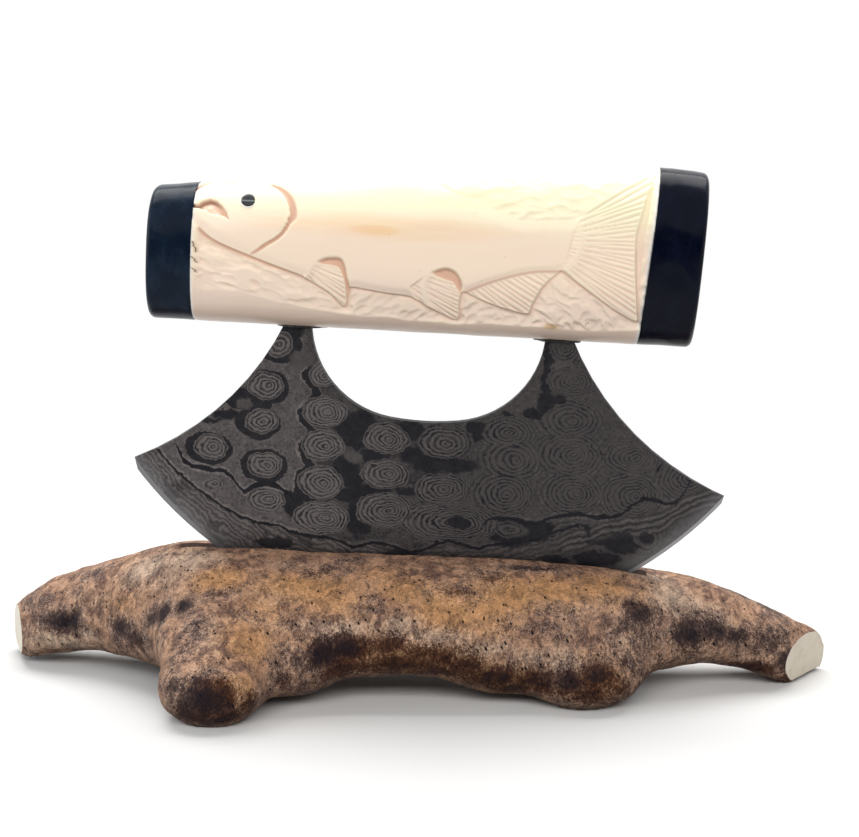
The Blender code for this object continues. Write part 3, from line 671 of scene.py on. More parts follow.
def capStations(length):
    # along the cap, round its rim and in over its end face
    rim = oval["endRounding"] / length
    made = [(0.0, cap["seamBevel"], 1), (cap["seamShare"], 0.0, 1)]
    made += [(share * (1 - rim), 0.0, 1) for share in np.linspace(0, 1, cap["stations"])[1:-1]]
    for angle in np.linspace(0, math.pi / 2, cap["rimSteps"]):
        made.append((1 - rim + rim * math.sin(angle), oval["endRounding"] * (1 - math.cos(angle)), 1))
    return made + [(1 + cap["bulge"] * (1 - kept), oval["endRounding"], kept) for kept in cap["faceSteps"]]


def makeCap(name, side, look, node):
    angles = spreadAngles(cap["rows"], cap["frontWeight"])
    if side < 0:
        start, end = (oval["leftSeam"] - oval["seamGap"] / 2, 0), (oval["leftEnd"], 0)
        length = oval["leftSeam"] - oval["leftEnd"]
    else:
        start = (oval["rightSeam"] + oval["seamGap"] / 2, seamSlope)
        end = (oval["rightEnd"], oval["endLean"] / oval["height"])
        length = oval["rightEnd"] - oval["rightSeam"]
    bm, _, _, places, out = ovalSleeve(capStations(length), angles, start, end)
    wander = np.array([noise.noise(Vector(p) * 0.16 + Vector((7, 3, side))) for p in places]) * cap["wander"]
    facets = [noise.noise(Vector((p[0] * 0.1, p[1] * 0.3, p[2] * 0.34))) for p in places]
    facets = np.array(facets) * cap["facets"]
    free = ease(np.abs(places[:, 0] - start[0] - start[1] * places[:, 2]), 0, 3)
    places[:, 1:] -= out * np.abs((wander + facets) * free)[:, None]
    closeSleeve(bm, places)
    return finishPiece(name, bm, "knife", [look], [node])


# Ivory: cream with a warm body, amber streaks along the grain, brown in the cuts that is partly stain and
# partly painted shade, and paler raised relief as painted highlight

ivory = {
    "pale": (0.93, 0.87, 0.62), "body": (0.95, 0.77, 0.62), "low": (0.86, 0.69, 0.58),
    "streak": (0.9, 0.6, 0.34), "amber": (0.92, 0.82, 0.55),
    "groove": (0.66, 0.4, 0.28), "brown": (0.2, 0.09, 0.045),
    "crack": (0.16, 0.075, 0.035), "patch": (0.55, 0.34, 0.14), "edge": (0.88, 0.86, 0.82),
    "rough": 0.38, "coat": 0.25, "coatRough": 0.18, "relief": 0.03,
    # places as (centre, reach), and cracks as (height, half length, slant)
    "glow": ((-14, 27.2), (10, 2.0)), "band": ((-14, 28.0), (42, 4.2)),
    "topLeft": ((-14, 38.8), (20, 3.2)), "topRight": ((12, 36.5), (15, 3.6)),
    "rustSpot": ((31.3, 4.8), (2.6, 1.1)), "scratches": ((41.0, 6.4), (6.5, 2.1)),
    "chips": ((1.5, 1.7), (12.5, 0.75)),
    "cracks": ((20.6, 1.5, -0.42), (17.4, 0.9, -0.9), (14.7, 0.7, -1.3)),
}


def within(x, z, centre, reach):
    # one inside an ellipse, fading to nothing at its edge
    across = maths("DIVIDE", minus(x, centre[0]), reach[0])
    up = maths("DIVIDE", minus(z, centre[1]), reach[1])
    square = timesPlus(across, across, times(up, up))
    return span(square, 1.0, 0.0)


def seamCracks(x, z):
    # three short cracks that slant away from the left seam, each with a brown edge
    slow = noiseAt(vectorFrom(Z=z), 0.9, 3.0, 0.6)
    marks = []
    for high, reach, lean in ivory["cracks"]:
        middle = timesPlus(minus(z, high), lean, timesPlus(slow, 2.6, -60.4))
        distance = unsigned(minus(x, middle))
        near = span(unsigned(minus(z, high)), reach + 0.15, reach - 0.3)
        line = larger(span(distance, 0.22, 0.1), span(distance, 1.1, 0.1, 0.0, 0.28))
        marks.append(times(line, near))
    return largest(marks)


def strayLines(p, x, z):
    # short curved scratches in one corner, and tiny chips along the lower edge
    ridge = unsigned(minus(noiseAt(p, 0.55, 2.0, 0.5, 0.8), 0.5))
    patchy = noiseAt(p, 1.1, 1.0)
    lines = times(span(ridge, 0.018, 0.006), span(patchy, 0.5, 0.56))
    lines = times(lines, within(x, z, *ivory["scratches"]))
    chips = times(usePores(p, 0.75, 0.3, 0.5), within(x, z, *ivory["chips"]))
    return larger(times(lines, 0.9), times(chips, 0.75))


def ivoryMaterial():
    made, shader = newMaterial("carvedIvory")
    p = inKnifeFrame()
    split = partsOf(p)
    x, y, z = split["X"], split["Y"], split["Z"]
    cloud, grain = useMottle(stretched(p, (0.3, 1, 1)), 6.0, 0.7, 0.2)
    grainLine = noiseAt(stretched(p, (0.05, 1, 1)), 0.55, 3.0, 0.6)
    lift = timesPlus(minus(cloud, 0.5), 7.0, z)
    colour = mixColour(span(lift, 8, 20), ivory["low"], ivory["body"])
    colour = mixColour(span(lift, 25, 36), colour, ivory["pale"])
    streaks = larger(within(x, z, *ivory["glow"]), times(within(x, z, *ivory["band"]), 0.5))
    streaks = times(streaks, span(grainLine, 0.28, 0.62, 0.3, 1.0))
    colour = mixColour(times(streaks, 0.95), colour, ivory["streak"])
    high = larger(within(x, z, *ivory["topLeft"]), within(x, z, *ivory["topRight"]))
    colour = mixColour(times(high, 0.6), colour, ivory["amber"])
    colour = mixColour(span(grainLine, 0.45, 0.75, 0.0, 0.2), colour, ivory["amber"])
    colour = mixColour(times(within(x, z, *ivory["rustSpot"]), 0.75), colour, ivory["patch"])
    seams = minus(x, times(z, seamSlope))
    edge = larger(span(seams, oval["rightSeam"] - 1.1, oval["rightSeam"] - 0.5),
                  span(x, oval["leftSeam"] + 0.7, oval["leftSeam"] + 0.3))
    colour = mixColour(times(edge, 0.85), colour, ivory["edge"])
    # painted shade: hollows turn brown; painted highlight: raised relief turns paler
    hollow = attribute("hollow")
    stainAndShade = larger(attribute("stainAndShade"), span(hollow, 0.62, 1.0, 0.0, 0.16))
    colour = mixColour(span(stainAndShade, 0.03, 0.48, 0.0, 0.92), colour, ivory["groove"])
    colour = mixColour(span(stainAndShade, 0.6, 1.0, 0.0, 0.75), colour, ivory["brown"])
    colour = mixColour(span(hollow, 0.48, 0.1, 0.0, 0.4), colour, ivory["pale"])
    colour = mixColour(times(usePores(p, 2.6, 0.07, 0.25), 0.5), colour, ivory["brown"])
    marks = larger(seamCracks(x, z), strayLines(p, x, z))
    marks = times(marks, span(y, 2.0, 0.0))
    colour = mixColour(marks, colour, ivory["crack"])
    shader.inputs["Coat Weight"].default_value = ivory["coat"]
    shader.inputs["Coat Roughness"].default_value = ivory["coatRough"]
    rough = span(cloud, 0.3, 0.7, ivory["rough"] - 0.06, ivory["rough"] + 0.1)
    height = minus(plus(times(grain, 0.5), grainLine), marks)
    setLook(shader, colour, rough, height, ivory["relief"])
    return made


# Horn caps: almost black and polished, faint blue-grey streaks and fine scratches, the left cap bluer and
# lighter as a painted reflection

horn = {"left": (0.004, 0.009, 0.02), "right": (0.0012, 0.0022, 0.008), "rough": 0.17, "shine": 0.1,
        "relief": 0.03}


def hornMaterial():
    made, shader = newMaterial("blackHorn")
    p = inKnifeFrame()
    cloud, grain = useMottle(stretched(p, (1, 1, 0.35)), 3.5, 0.5, 0.3)
    x = partsOf(p)["X"]
    # the left cap is coloured bluer and lighter than the right: a painted reflection of the bluish light on
    # the left
    base = mixColour(span(x, -55, 55), horn["left"], horn["right"])
    lighter = mixColour(1.0, base, (2.2, 2.0, 1.8), "MULTIPLY")
    colour = mixColour(span(cloud, 0.42, 0.75), base, lighter)
    shader.inputs["Specular IOR Level"].default_value = horn["shine"]
    scratch = noiseAt(stretched(p, (0.4, 1, 3.2)), 2.2, 4.0, 0.7, 0.6)
    rough = plus(span(scratch, 0.45, 0.7, horn["rough"], horn["rough"] + 0.14), times(grain, 0.05))
    setLook(shader, colour, rough, timesPlus(scratch, 0.3, cloud), horn["relief"])
    return made


# Eye: a black inlaid disc with a thin pale ring

eye = {"x": -46.3, "z": 32.55, "pupil": 1.76, "ring": 2.2, "sink": 2.4, "proud": 0.16, "crown": 0.14,
       "step": 0.5, "bevel": 0.12}


def eyeMatrix():
    half, mid = float(halfOf(eye["x"])), float(topOf(eye["x"])) / 2
    rise = (eye["z"] - mid) / mid
    out = (1 - abs(rise) ** oval["power"]) ** (1 / oval["power"])
    facing = Vector((0, -(out ** (oval["power"] - 1)) / half,
                     math.copysign(abs(rise) ** (oval["power"] - 1), rise) / mid)).normalized()
    turn = facing.to_track_quat("Z", "Y").to_matrix().to_4x4()
    return Matrix.Translation((eye["x"], -half * out, eye["z"])) @ turn


def makeEye(pupilLook, ringLook):
    bm = bmesh.new()
    height = eye["sink"] + eye["proud"]
    bmesh.ops.create_cone(bm, cap_ends=True, segments=72, radius1=eye["pupil"], radius2=eye["pupil"],
                          depth=height, matrix=Matrix.Translation((0, 0, eye["proud"] - height / 2)))
    rim = [e for e in bm.edges if all(v.co.z > 0 for v in e.verts) and len(e.link_faces) == 2]
    bmesh.ops.bevel(bm, geom=rim, offset=eye["bevel"], segments=3, profile=0.5, affect="EDGES", material=-1)
    top = max(bm.faces, key=lambda f: f.calc_center_median().z)
    for _ in range(2):
        bmesh.ops.inset_individual(bm, faces=[top], thickness=eye["step"])
    for v in bm.verts:
        if v.co.z > eye["proud"] - 0.02:
            v.co.z += eye["crown"] * (1 - (v.co.xy.length / eye["pupil"]) ** 2)
    bmesh.ops.transform(bm, matrix=eyeMatrix(), verts=bm.verts)
    placeInKnifeFrame(bm)
    finishPiece("eyePupil", bm, "knife", [pupilLook], ["eye_pupil"])

    bm = bmesh.new()
    profile = [(eye["pupil"] + 0.02, -eye["sink"]), (eye["pupil"] + 0.02, 0.04), (eye["pupil"] + 0.1, 0.1),
               (eye["ring"] - 0.1, 0.1), (eye["ring"], 0.02), (eye["ring"], -eye["sink"])]
    points = [bm.verts.new((r, 0, h)) for r, h in profile]
    edges = [bm.edges.new(pair) for pair in zip(points, points[1:] + points[:1])]
    bmesh.ops.spin(bm, geom=points + edges, axis=(0, 0, 1), cent=(0, 0, 0), angle=2 * math.pi, steps=72,
                   use_merge=True)
    bmesh.ops.recalc_face_normals(bm, faces=bm.faces)
    bmesh.ops.transform(bm, matrix=eyeMatrix(), verts=bm.verts)
    placeInKnifeFrame(bm)
    finishPiece("eyeRing", bm, "knife", [ringLook], ["eye_ring"])


def inlayMaterial(name, dark, light, rough, band=None):
    # band: the height and half width of a lighter line across, a painted reflection, and its colour
    made, shader = newMaterial(name)
    p = inKnifeFrame()
    cloud, grain = useMottle(p, 1.2, 0.2, 0.3)
    colour = mixColour(span(cloud, 0.35, 0.7), dark, light)
    if band:
        height, half, reflectionColour = band
        z = partsOf(p)["Z"]
        away = unsigned(minus(z, height))
        colour = mixColour(span(away, half, half * 0.5), colour, reflectionColour)
    setLook(shader, colour, span(grain, 0.3, 0.7, rough, rough + 0.1), grain, 0.01)
    return made


# Bedding resin squeezed out round each post

resin = {"post": 33.545, "wide": 5.4, "deep": 3.1, "high": 0.95, "drop": 0.1, "wander": (1.1, 0.6, 0.22),
         "seed": 11}


def makeResin(name, side, smears, look, node):
    noise.seed_set(resin["seed"])
    bm = bmesh.new()
    blobs = [(resin["post"] * side, 0, -resin["drop"], resin["wide"], resin["deep"], resin["high"])] + smears
    for cx, cy, cz, wide, deep, high in blobs:
        place = Matrix.Translation((cx, cy, cz)) @ Matrix.Diagonal((wide, deep, high, 1))
        bmesh.ops.create_icosphere(bm, subdivisions=4, radius=1, matrix=place)
    for v in bm.verts:
        shift = noise.noise_vector(v.co * 0.55 + Vector((side * 5, 0, 0)))
        v.co += Vector([a * b for a, b in zip(shift, resin["wander"])])
    placeInKnifeFrame(bm)
    return finishPiece(name, bm, "knife", [look], [node])


# Blade: raindrop layers, etched dark, cut open by round drops and by the grind along the edge

steel = {
    "edgeCentre": (1.8, 0, 20.5), "edgeRadius": 98.2, "bevels": (1.35, 0.95), "bevelEnds": (-70, 70),
    "half": 1.25, "grind": 14.0, "lean": 0.17, "flank": 37.0, "metal": 0.65,
    "black": (0.007, 0.0075, 0.012), "grey": (0.07, 0.062, 0.062), "line": (0.26, 0.235, 0.23),
    "groundLeft": (0.2, 0.2, 0.21), "ground": (0.31, 0.31, 0.32), "side": (0.01, 0.009, 0.01),
}
# places on the blade in millimetres of the knife's frame
# ringed drops: (x, z, half width, half height, number of rings)
drops = (
    (-38.2, -5.2, 3.9, 3.4, 3.0), (-40.6, -16.3, 4.9, 3.7, 4.0), (-41.5, -26, 4.4, 3.3, 4.0),
    (-54.6, -33.4, 4.3, 3.4, 4.0), (-40.4, -37.5, 4.5, 3.6, 4.0), (-39.6, -46.8, 5.0, 3.4, 4.5),
    (-26, -12.6, 3.8, 3.4, 4.0), (-25, -22.3, 5.8, 4.2, 5.5), (-25.2, -31.4, 5.6, 4.2, 5.2),
    (-25.2, -41.4, 5.8, 4.6, 5.5), (-24.5, -50.9, 7.4, 4.6, 6.5), (-8.6, -28.6, 6.0, 4.0, 5.5),
    (-8.6, -38.2, 6.2, 4.1, 5.4), (-8, -48, 7.6, 4.7, 7.0), (6.3, -28.9, 6.4, 4.2, 4.6),
    (6.3, -41.2, 6.6, 4.2, 6.0), (9.9, -50.2, 12.5, 5.6, 9.5), (22.6, -25.4, 5.6, 3.6, 4.6),
    (24.6, -32.3, 6.4, 5.0, 4.6), (22.8, -41.6, 6.6, 5.2, 5.6), (35.6, -2.2, 3.6, 3.6, 4.0),
    (38.6, -10.8, 6.2, 3.8, 6.0), (38.6, -21, 6.4, 4.4, 4.6), (39.6, -30.3, 7.4, 5.2, 6.2),
    (40.8, -40.4, 7.2, 5.4, 6.4), (55.4, -30, 6.4, 4.2, 5.8), (56, -40.5, 7.4, 6.0, 7.0),
    (69.5, -35, 7.0, 5.6, 7.0), (24, -51, 4.1, 2.0, 2.0), (59.6, -51.2, 2.8, 2.6, 2.0),
    (-54.4, -43.6, 2.6, 1.5, 2.0), (40, -52, 4.6, 3.6, 3.4), (8, -58.5, 6.0, 3.4, 4.0),
    (-24, -60.5, 6.5, 3.4, 5.0),
)
# dark moats round the drops on the left: (x, z, half width, half height)
moats = (
    (-38.6, -5.6, 6.4, 4.4), (-40.9, -16.6, 5.8, 4.5), (-43.2, -26.5, 6.0, 4.2), (-56, -33.9, 6.3, 4.3),
    (-41.4, -37.8, 6.3, 4.7), (-47.8, -20.4, 4.2, 3.0), (-43.5, -21.6, 3.6, 2.2),
)
# dark patches of bare steel: (x, z, half width, half height)
blots = (
    (-36, -1.6, 4, 2.2), (-51.6, -24.6, 3.4, 1.4), (-57, -26.4, 4.5, 0.7), (-33.5, -47.5, 2.8, 3.4),
    (-28.5, -45.6, 5, 1.3), (-16.5, -24.2, 4.2, 2.4), (-20.5, -26.6, 3, 2.0), (-17.2, -29, 3.6, 2.8),
    (-13, -33.4, 5, 1.9), (-20, -36.6, 3.4, 3), (-17.5, -40, 2.6, 3), (-13, -43, 5.6, 1.7),
    (-20, -44.3, 4.6, 1.8), (-17.2, -50, 2.4, 4.6), (-14.4, -53, 2.4, 1.7), (-3.4, -26, 3.4, 3.0),
    (-2.6, -32.6, 3.8, 2.2), (1.5, -34.5, 4.4, 2.6), (8, -34.6, 6.6, 2.0), (-3.8, -42.4, 2.6, 1.2),
    (13.6, -24.4, 3.2, 1.6), (14.2, -27, 1.5, 1.3), (21.6, -20.4, 1.6, 0.8), (28.5, -20, 2.8, 1.4),
    (31.2, -16.6, 2.2, 3), (31.4, -11.5, 1.6, 4), (34.5, -15.6, 2.2, 1.3), (31.3, -5, 1.2, 4.6),
    (33, -1.2, 3.6, 1.7), (62.3, -32.8, 1.4, 1.5), (58, -40.9, 3.7, 2.6), (10.4, -50.1, 3.0, 1.6),
    (31, -51.1, 5.4, 2.9), (24, -51.3, 7.6, 3.4), (25, -54.8, 4.4, 1.0), (43, -50.3, 1.9, 1.7),
    (53.4, -53, 5, 2.8), (47, -57.6, 6.5, 2.2), (46.5, -53.4, 4, 0.9), (59.4, -51.3, 1.8, 1.6),
    (-38, -58.4, 5.5, 1.4), (-4.5, -59.6, 4.6, 1.5), (36, -58.5, 4.5, 1.2),
)
# lighter islands: (x, z, half width, half height)
islands = ((-47, -21.6, 2.1, 1.6), (-18, -34, 2.6, 1.8), (35, -6.6, 2.6, 1.6), (24, -51, 4.2, 2.1),
           (-32.5, -8.5, 3, 2.2))
# dark lines as places along the blade: the river runs down (z, x), the others run across (x, z)
river = ((-49, -33.4), (-45.5, -32.2), (-42, -32), (-39, -31.3), (-37, -29), (-35.4, -30), (-33, -31.7),
         (-30.4, -31), (-27.7, -28.8), (-25.5, -31.2), (-22.6, -31.6), (-20, -29.9), (-17.6, -27.8),
         (-15, -29.9), (-12.4, -31), (-10, -29))
longLine = ((-70, -35), (-66, -39), (-62, -42.4), (-58, -45.4), (-55, -47.4), (-52, -49.3), (-48, -51.4),
            (-44, -53.4), (-40, -53.3), (-37, -53.5), (-34, -54.7), (-30, -56.1), (-25, -56.3), (-21, -57),
            (-18, -58), (-15, -58), (-12, -57), (-8, -57), (-5, -58.2), (-2, -58.8), (1, -58), (4, -56.4),
            (8, -55.4), (12, -56), (16, -56.6), (20, -55.2), (26, -54.4), (31, -53.6), (36, -50.6),
            (42, -48.6))
upperLine = ((-65, -33), (-63, -37), (-60, -39.2), (-56, -39.2), (-52, -40), (-49.5, -41.6), (-47.8, -43.7),
             (-46.3, -45), (-44, -43.6), (-41, -42.3), (-38, -42.6), (-36, -44), (-34, -45.6), (-32.4, -48))
rightLine = ((16.4, -50.5), (18, -48.8), (21, -48.1), (25, -48), (29, -48.8), (32, -48.5), (35, -47),
             (38, -46.2), (42, -46), (46, -46.6), (50, -46), (53, -44.8), (55.5, -42.4), (58, -40.8),
             (61, -41), (64, -41.7), (66.5, -41), (68.4, -39), (69.4, -36.6), (70.4, -34.6))
flowLine = ((28, -58.6), (34, -56.3), (40, -53.2), (46, -51.6), (50, -49.6), (55, -48.8), (60, -48),
            (64, -46.4), (67, -43.6), (72, -41), (78, -39))


def warped(vector, sided, scale, amount, detail):
    colour = noiseAt(sided, scale, detail, output="Color")
    centred = vectorMaths("SUBTRACT", colour, (0.5, 0.5, 0.5))[0]
    return vectorMaths("ADD", vector, stretched(centred, (amount, 0, amount)))[0]


def distanceFrom(vector, place):
    return vectorMaths("DISTANCE", vector, place)["Value"]


def largest(values):
    made = values[0]
    for value in values[1:]:
        made = larger(made, value)
    return made


def ovalAt(wavy, x, z, wide, high):
    # the way from an oval's middle, and its length in the oval's own half sizes
    away = vectorMaths("SUBTRACT", wavy, (x, 0, z))[0]
    return away, vectorMaths("LENGTH", stretched(away, (1 / wide, 0, 1 / high)))["Value"]


def ringsAt(wavy, x, z, wide, high, rings):
    # how many rings lie between a point and the drop's outline, wider apart on its left side
    away, size = ovalAt(wavy, x, z, wide, high)
    lean = vectorMaths("DOT_PRODUCT", away, (steel["lean"] * rings / wide, 0, 0))["Value"]
    return minus(timesPlus(size, -rings, rings), lean)


def curveAt(value, points):
    # the height of a line given as (place, height)
    places, heights = zip(*points)
    first, last, low, high = places[0], places[-1], min(heights), max(heights)
    stops = [((a - first) / (last - first), ((b - low) / (high - low),) * 3) for a, b in points]
    share = colourRamp(span(value, first, last, smooth=False), stops)
    return span(share, 0, 1, low, high, smooth=False)


def lineAt(along, across, points, half, soft=0.3):
    # a dark line of its own width with a paler rim, both only between its ends: (line, rim)
    away = unsigned(minus(across, curveAt(along, points)))
    first, last = points[0][0], points[-1][0]
    reach = times(span(along, first, first + 0.6), span(along, last, last - 0.6))
    inside = span(minus(away, half), soft / 2, -soft / 2)
    rim = times(span(minus(away, half), 0.9, 0.4), reach)
    return times(inside, reach), rim


def blotAt(wavy, x, z, wide, high, soft=0.15):
    return span(ovalAt(wavy, x, z, wide, high)[1], 1 + soft, 1 - soft)


def mixFloat(factor, a, b):
    node = put("ShaderNodeMix", data_type="FLOAT")
    feed(node.inputs[0], factor)
    feed(node.inputs[2], a)
    feed(node.inputs[3], b)
    return node.outputs[0]


def steelMaterial():
    made, shader = newMaterial("damascusSteel")
    p = inKnifeFrame()
    split = partsOf(p)
    x = split["X"]
    flank = times(maths("SIGN", split["Y"]), steel["flank"])
    flat = vectorFrom(X=x, Z=split["Z"])
    sided = vectorFrom(X=x, Y=flank, Z=split["Z"])
    wavy = warped(warped(flat, sided, 0.24, 2.0, 2.0), sided, 1.1, 1.05, 3.0)
    ragged = warped(wavy, sided, 0.6, 2.2, 4.0)
    places = partsOf(wavy)
    across, up = places["X"], places["Z"]
    slow = noiseAt(sided, 0.2, 3.0, 0.55)
    fleck = noiseAt(sided, 1.5, 3.0, 0.7)
    speckle = noiseAt(sided, 0.5, 4.0, 0.75)

    # bare ground: pale on the left, mottled in the middle, even and darker on the right
    tone = span(across, -33, -29, 0.57, 0.42)
    mottled = times(span(x, -30, -24), span(x, 18, 8))
    tone = timesPlus(times(mottled, span(slow, 0.52, 0.44)), -0.16, tone)
    tone = timesPlus(span(fleck, 0.46, 0.36), -0.2, tone)
    tone = timesPlus(span(fleck, 0.56, 0.7), 0.16, tone)

    # rings of the drops, and weaker lines that follow them outside
    rings = largest([ringsAt(wavy, *drop) for drop in drops])
    turns = times(plus(rings, timesPlus(fleck, 0.3, -0.15)), math.tau)
    wave = maths("COSINE", turns)
    dark = span(wave, 0.0, -0.85)
    pale = span(wave, 0.1, 1.0)
    inDrop = span(rings, -0.1, 0.15)
    strong = times(span(x, 8, 30, 0.44, 0.28), span(speckle, 0.36, 0.6, 1.15, 0.35))
    faint = times(span(rings, -3.0, 0.0), span(x, -36, 20, 0.0, 0.17))
    depth = mixFloat(inDrop, faint, strong)
    ground = mixFloat(inDrop, tone, span(x, -34, 22, 0.6, 0.42))
    ringed = timesPlus(dark, times(depth, -1.0), ground)
    ringed = timesPlus(pale, times(depth, 0.34), ringed)

    # dark steel: moats, patches and the long lines, which the rings stand on
    moat = largest([blotAt(wavy, *place, 0.04) for place in moats])
    moatRim = largest([blotAt(wavy, *place, 0.12) for place in moats])
    blot = largest([blotAt(ragged, *place) for place in blots])
    stream, streamRim = lineAt(up, across, river, 1.15)
    upper, upperRim = lineAt(across, up, upperLine, 0.62)
    long, longRim = lineAt(across, up, longLine, 0.42)
    right, rightRim = lineAt(across, up, rightLine, 0.45)
    rims = largest([moatRim, streamRim, upperRim, longRim, rightRim])
    bare = times(minus(1.0, inDrop), span(x, 30, -20, 0.5, 1.0))
    ringed = timesPlus(times(rims, bare), 0.17, ringed)
    sunk = largest([moat, blot, stream])
    sunk = times(sunk, minus(1.0, inDrop))
    pit = largest([blotAt(wavy, *place) for place in blots if place[0] in (10.4, 59.4)])
    tone = mixFloat(times(larger(sunk, pit), 0.94), ringed, 0.04)
    island = largest([blotAt(ragged, *place, 0.25) for place in islands])
    tone = mixFloat(times(island, minus(1.0, inDrop)), tone, 0.5)

    # below the long line the layers follow the edge
    inward = minus(steel["edgeRadius"], distanceFrom(wavy, steel["edgeCentre"]))
    bent = timesPlus(slow, 5.0, inward)
    layers = maths("SINE", times(bent, 4.6))
    below = minus(curveAt(across, longLine), up)
    below = times(span(below, -0.2, 0.2), span(x, 38, 34))
    rising = minus(up, curveAt(across, flowLine))
    nearFlow = times(span(unsigned(rising), 3.4, 2.0), span(x, 30, 40))
    sweep = maths("COSINE", times(rising, 3.6))
    layered = timesPlus(span(layers, 0.2, 0.9), 0.13, span(x, -30, 10, 0.56, 0.42))
    layered = timesPlus(span(layers, -0.55, -0.95), -0.16, layered)
    layered = timesPlus(span(slow, 0.56, 0.66), -0.2, layered)
    swept = timesPlus(span(sweep, 0.3, 0.95), 0.16, 0.4)
    swept = timesPlus(span(sweep, -0.4, -0.95), -0.26, swept)
    deep = times(larger(sunk, pit), 0.9)
    tone = mixFloat(below, tone, mixFloat(deep, layered, 0.08))
    tone = mixFloat(nearFlow, tone, mixFloat(deep, swept, 0.1))
    tone = mixFloat(largest([long, upper, right]), tone, 0.03)
    grain = noiseAt(sided, 4.0, 3.0, 0.75)
    tone = plus(tone, timesPlus(speckle, 0.36, -0.18))
    tone = plus(tone, timesPlus(grain, 0.5, -0.25), clamp=True)
    colour = colourRamp(tone, [(0.0, steel["black"]), (0.5, steel["grey"]), (1.0, steel["line"])])

    trueInward = minus(steel["edgeRadius"], distanceFrom(flat, steel["edgeCentre"]))
    beyond = minus(span(x, *steel["bevelEnds"], *steel["bevels"], smooth=False), trueInward)
    bevel = span(beyond, -0.12, 0.12)
    narrow = span(unsigned(split["Y"]), steel["half"] - 0.03, steel["half"] - 0.14)
    side = times(narrow, span(trueInward, steel["grind"], steel["grind"] + 1.5))
    honed = times(span(beyond, -4.2, 0.0, 0.0, 0.42), span(x, 40, -40, 0.6, 1.0))
    # the bevel's colour is darker on the left: painted shade
    ground = mixColour(span(x, -55, -15), steel["groundLeft"], steel["ground"])
    colour = mixColour(larger(bevel, honed), colour, ground)
    colour = mixColour(side, colour, steel["side"])
    shader.inputs["Metallic"].default_value = steel["metal"]
    rough = mixFloat(bevel, span(tone, 0, 0.8, 0.6, 0.46), 0.42)
    setLook(shader, colour, rough, times(tone, minus(1.0, bevel)), 0.05, 0.7)
    return made


# Stand: antler bark with dark rims, deepened by painted shade where they face down, ochre slopes, pores,
# pale sawn ends, and painted shade in and along the slot

antler = {
    "voxel": 0.8 * mm, "smooth": 4, "swell": 0.22, "lumps": 0.32, "ridges": 0.13, "pits": 0.5,
    "patchCore": 1.2, "patchFade": 0.72,
    "depth": 0.07, "height": 0.0365,
    "lift": 1.8, "liftTop": 16.0, "liftReach": (80, 102),
    "endUp": 0.25, "endOut": 1.5, "endTaper": 1.0, "endTaperLength": 3.5,
    "slotHalf": 1.65, "slotFloor": -78.0, "slotLeft": 62.98, "slotRight": 60.2, "slotTop": -48.2,
    "slotRadius": 160.6,
}
# the sawn ends: how far out, where across the depth, turned and tilted by how much
sawnEnds = {
    -1: (0.1095, 0.35, math.radians(20), 0.0),
    1: (0.1059, 0.24, math.radians(35), math.radians(7)),
}
# patches of the bark, by where the photograph shows them: (x, y, half width, half height in mm, strength)
darkPatches = (
    (64, 621, 8, 3.4, 0.9), (28, 601, 5, 3, 0.5), (93, 573, 6, 2.4, 0.5), (76, 591, 3, 3, 0.3),
    (40, 603, 6, 2.5, 0.3), (121, 628, 4.5, 3, 0.75), (137, 638, 4.5, 3.2, 0.7), (163, 613, 6, 3, 0.9),
    (184, 606, 3.6, 2.6, 0.95), (151, 619, 4, 2.5, 0.7), (194, 627, 4, 3.4, 0.45), (219, 594, 4, 1.6, 0.55),
    (258, 618, 4, 2, 0.35), (289, 565, 5, 2, 0.35), (323, 571, 6, 3, 0.4), (286, 621, 4, 2, 0.35),
    (365, 604, 4, 2, 0.3), (348, 560, 6, 2, 0.3), (326, 655, 6, 4.4, 1.0), (347, 649, 7, 4, 0.95),
    (388, 646, 9, 3.2, 0.65), (422, 652, 9, 3.2, 0.65), (341, 668, 7, 3, 0.8), (300, 660, 7, 4, 0.5),
    (283, 678, 5, 3, 0.6), (400, 662, 10, 4, 0.7), (442, 655, 8, 4, 0.65), (467, 666, 8, 4, 0.7),
    (495, 677, 8, 4, 0.8), (513, 688, 5.5, 3, 0.7), (540, 680, 8, 4, 0.75), (570, 682, 7, 4, 0.85),
    (598, 676, 6, 4, 0.95), (590, 694, 7, 3, 0.7), (618, 685, 4, 4, 0.65), (625, 662, 3, 3, 0.55),
    (450, 672, 10, 3, 0.6), (600, 660, 4, 2, 0.5), (207, 700, 8, 6, 1.0), (196, 686, 5, 3, 0.55),
    (171, 688, 3, 6, 0.55), (224, 719, 9, 2.6, 0.75), (250, 702, 5, 3.4, 0.7), (186, 712, 4, 4, 0.7),
    (180, 655, 3, 3, 0.3), (640, 660, 9, 14, 0.4), (425, 668, 50, 5, 0.45), (641, 613, 5, 4, 0.8),
    (627, 625, 4, 3, 0.5), (650, 640, 4, 5, 0.45), (689, 633, 6, 4.4, 0.9), (717, 631, 6, 3, 0.9),
    (737, 636, 6, 2.4, 0.8), (768, 640, 9, 4.4, 0.65), (785, 659, 5, 3.4, 0.7), (756, 667, 7, 3, 0.65),
    (735, 673, 6, 2, 0.6), (697, 614, 4, 2.4, 0.5), (742, 595, 8, 3, 0.5), (774, 611, 6, 4, 0.55),
    (700, 645, 8, 2, 0.4), (790, 676, 5, 2, 0.6), (456, 592, 7, 3, 0.4), (487, 578, 5, 3.4, 0.45),
    (532, 568, 9, 1.6, 0.6), (566, 611, 7, 2.4, 0.4), (560, 630, 5, 3, 0.3), (590, 560, 8, 1.4, 0.5),
    (505, 628, 5, 3, 0.3), (610, 600, 4, 3, 0.3),
)
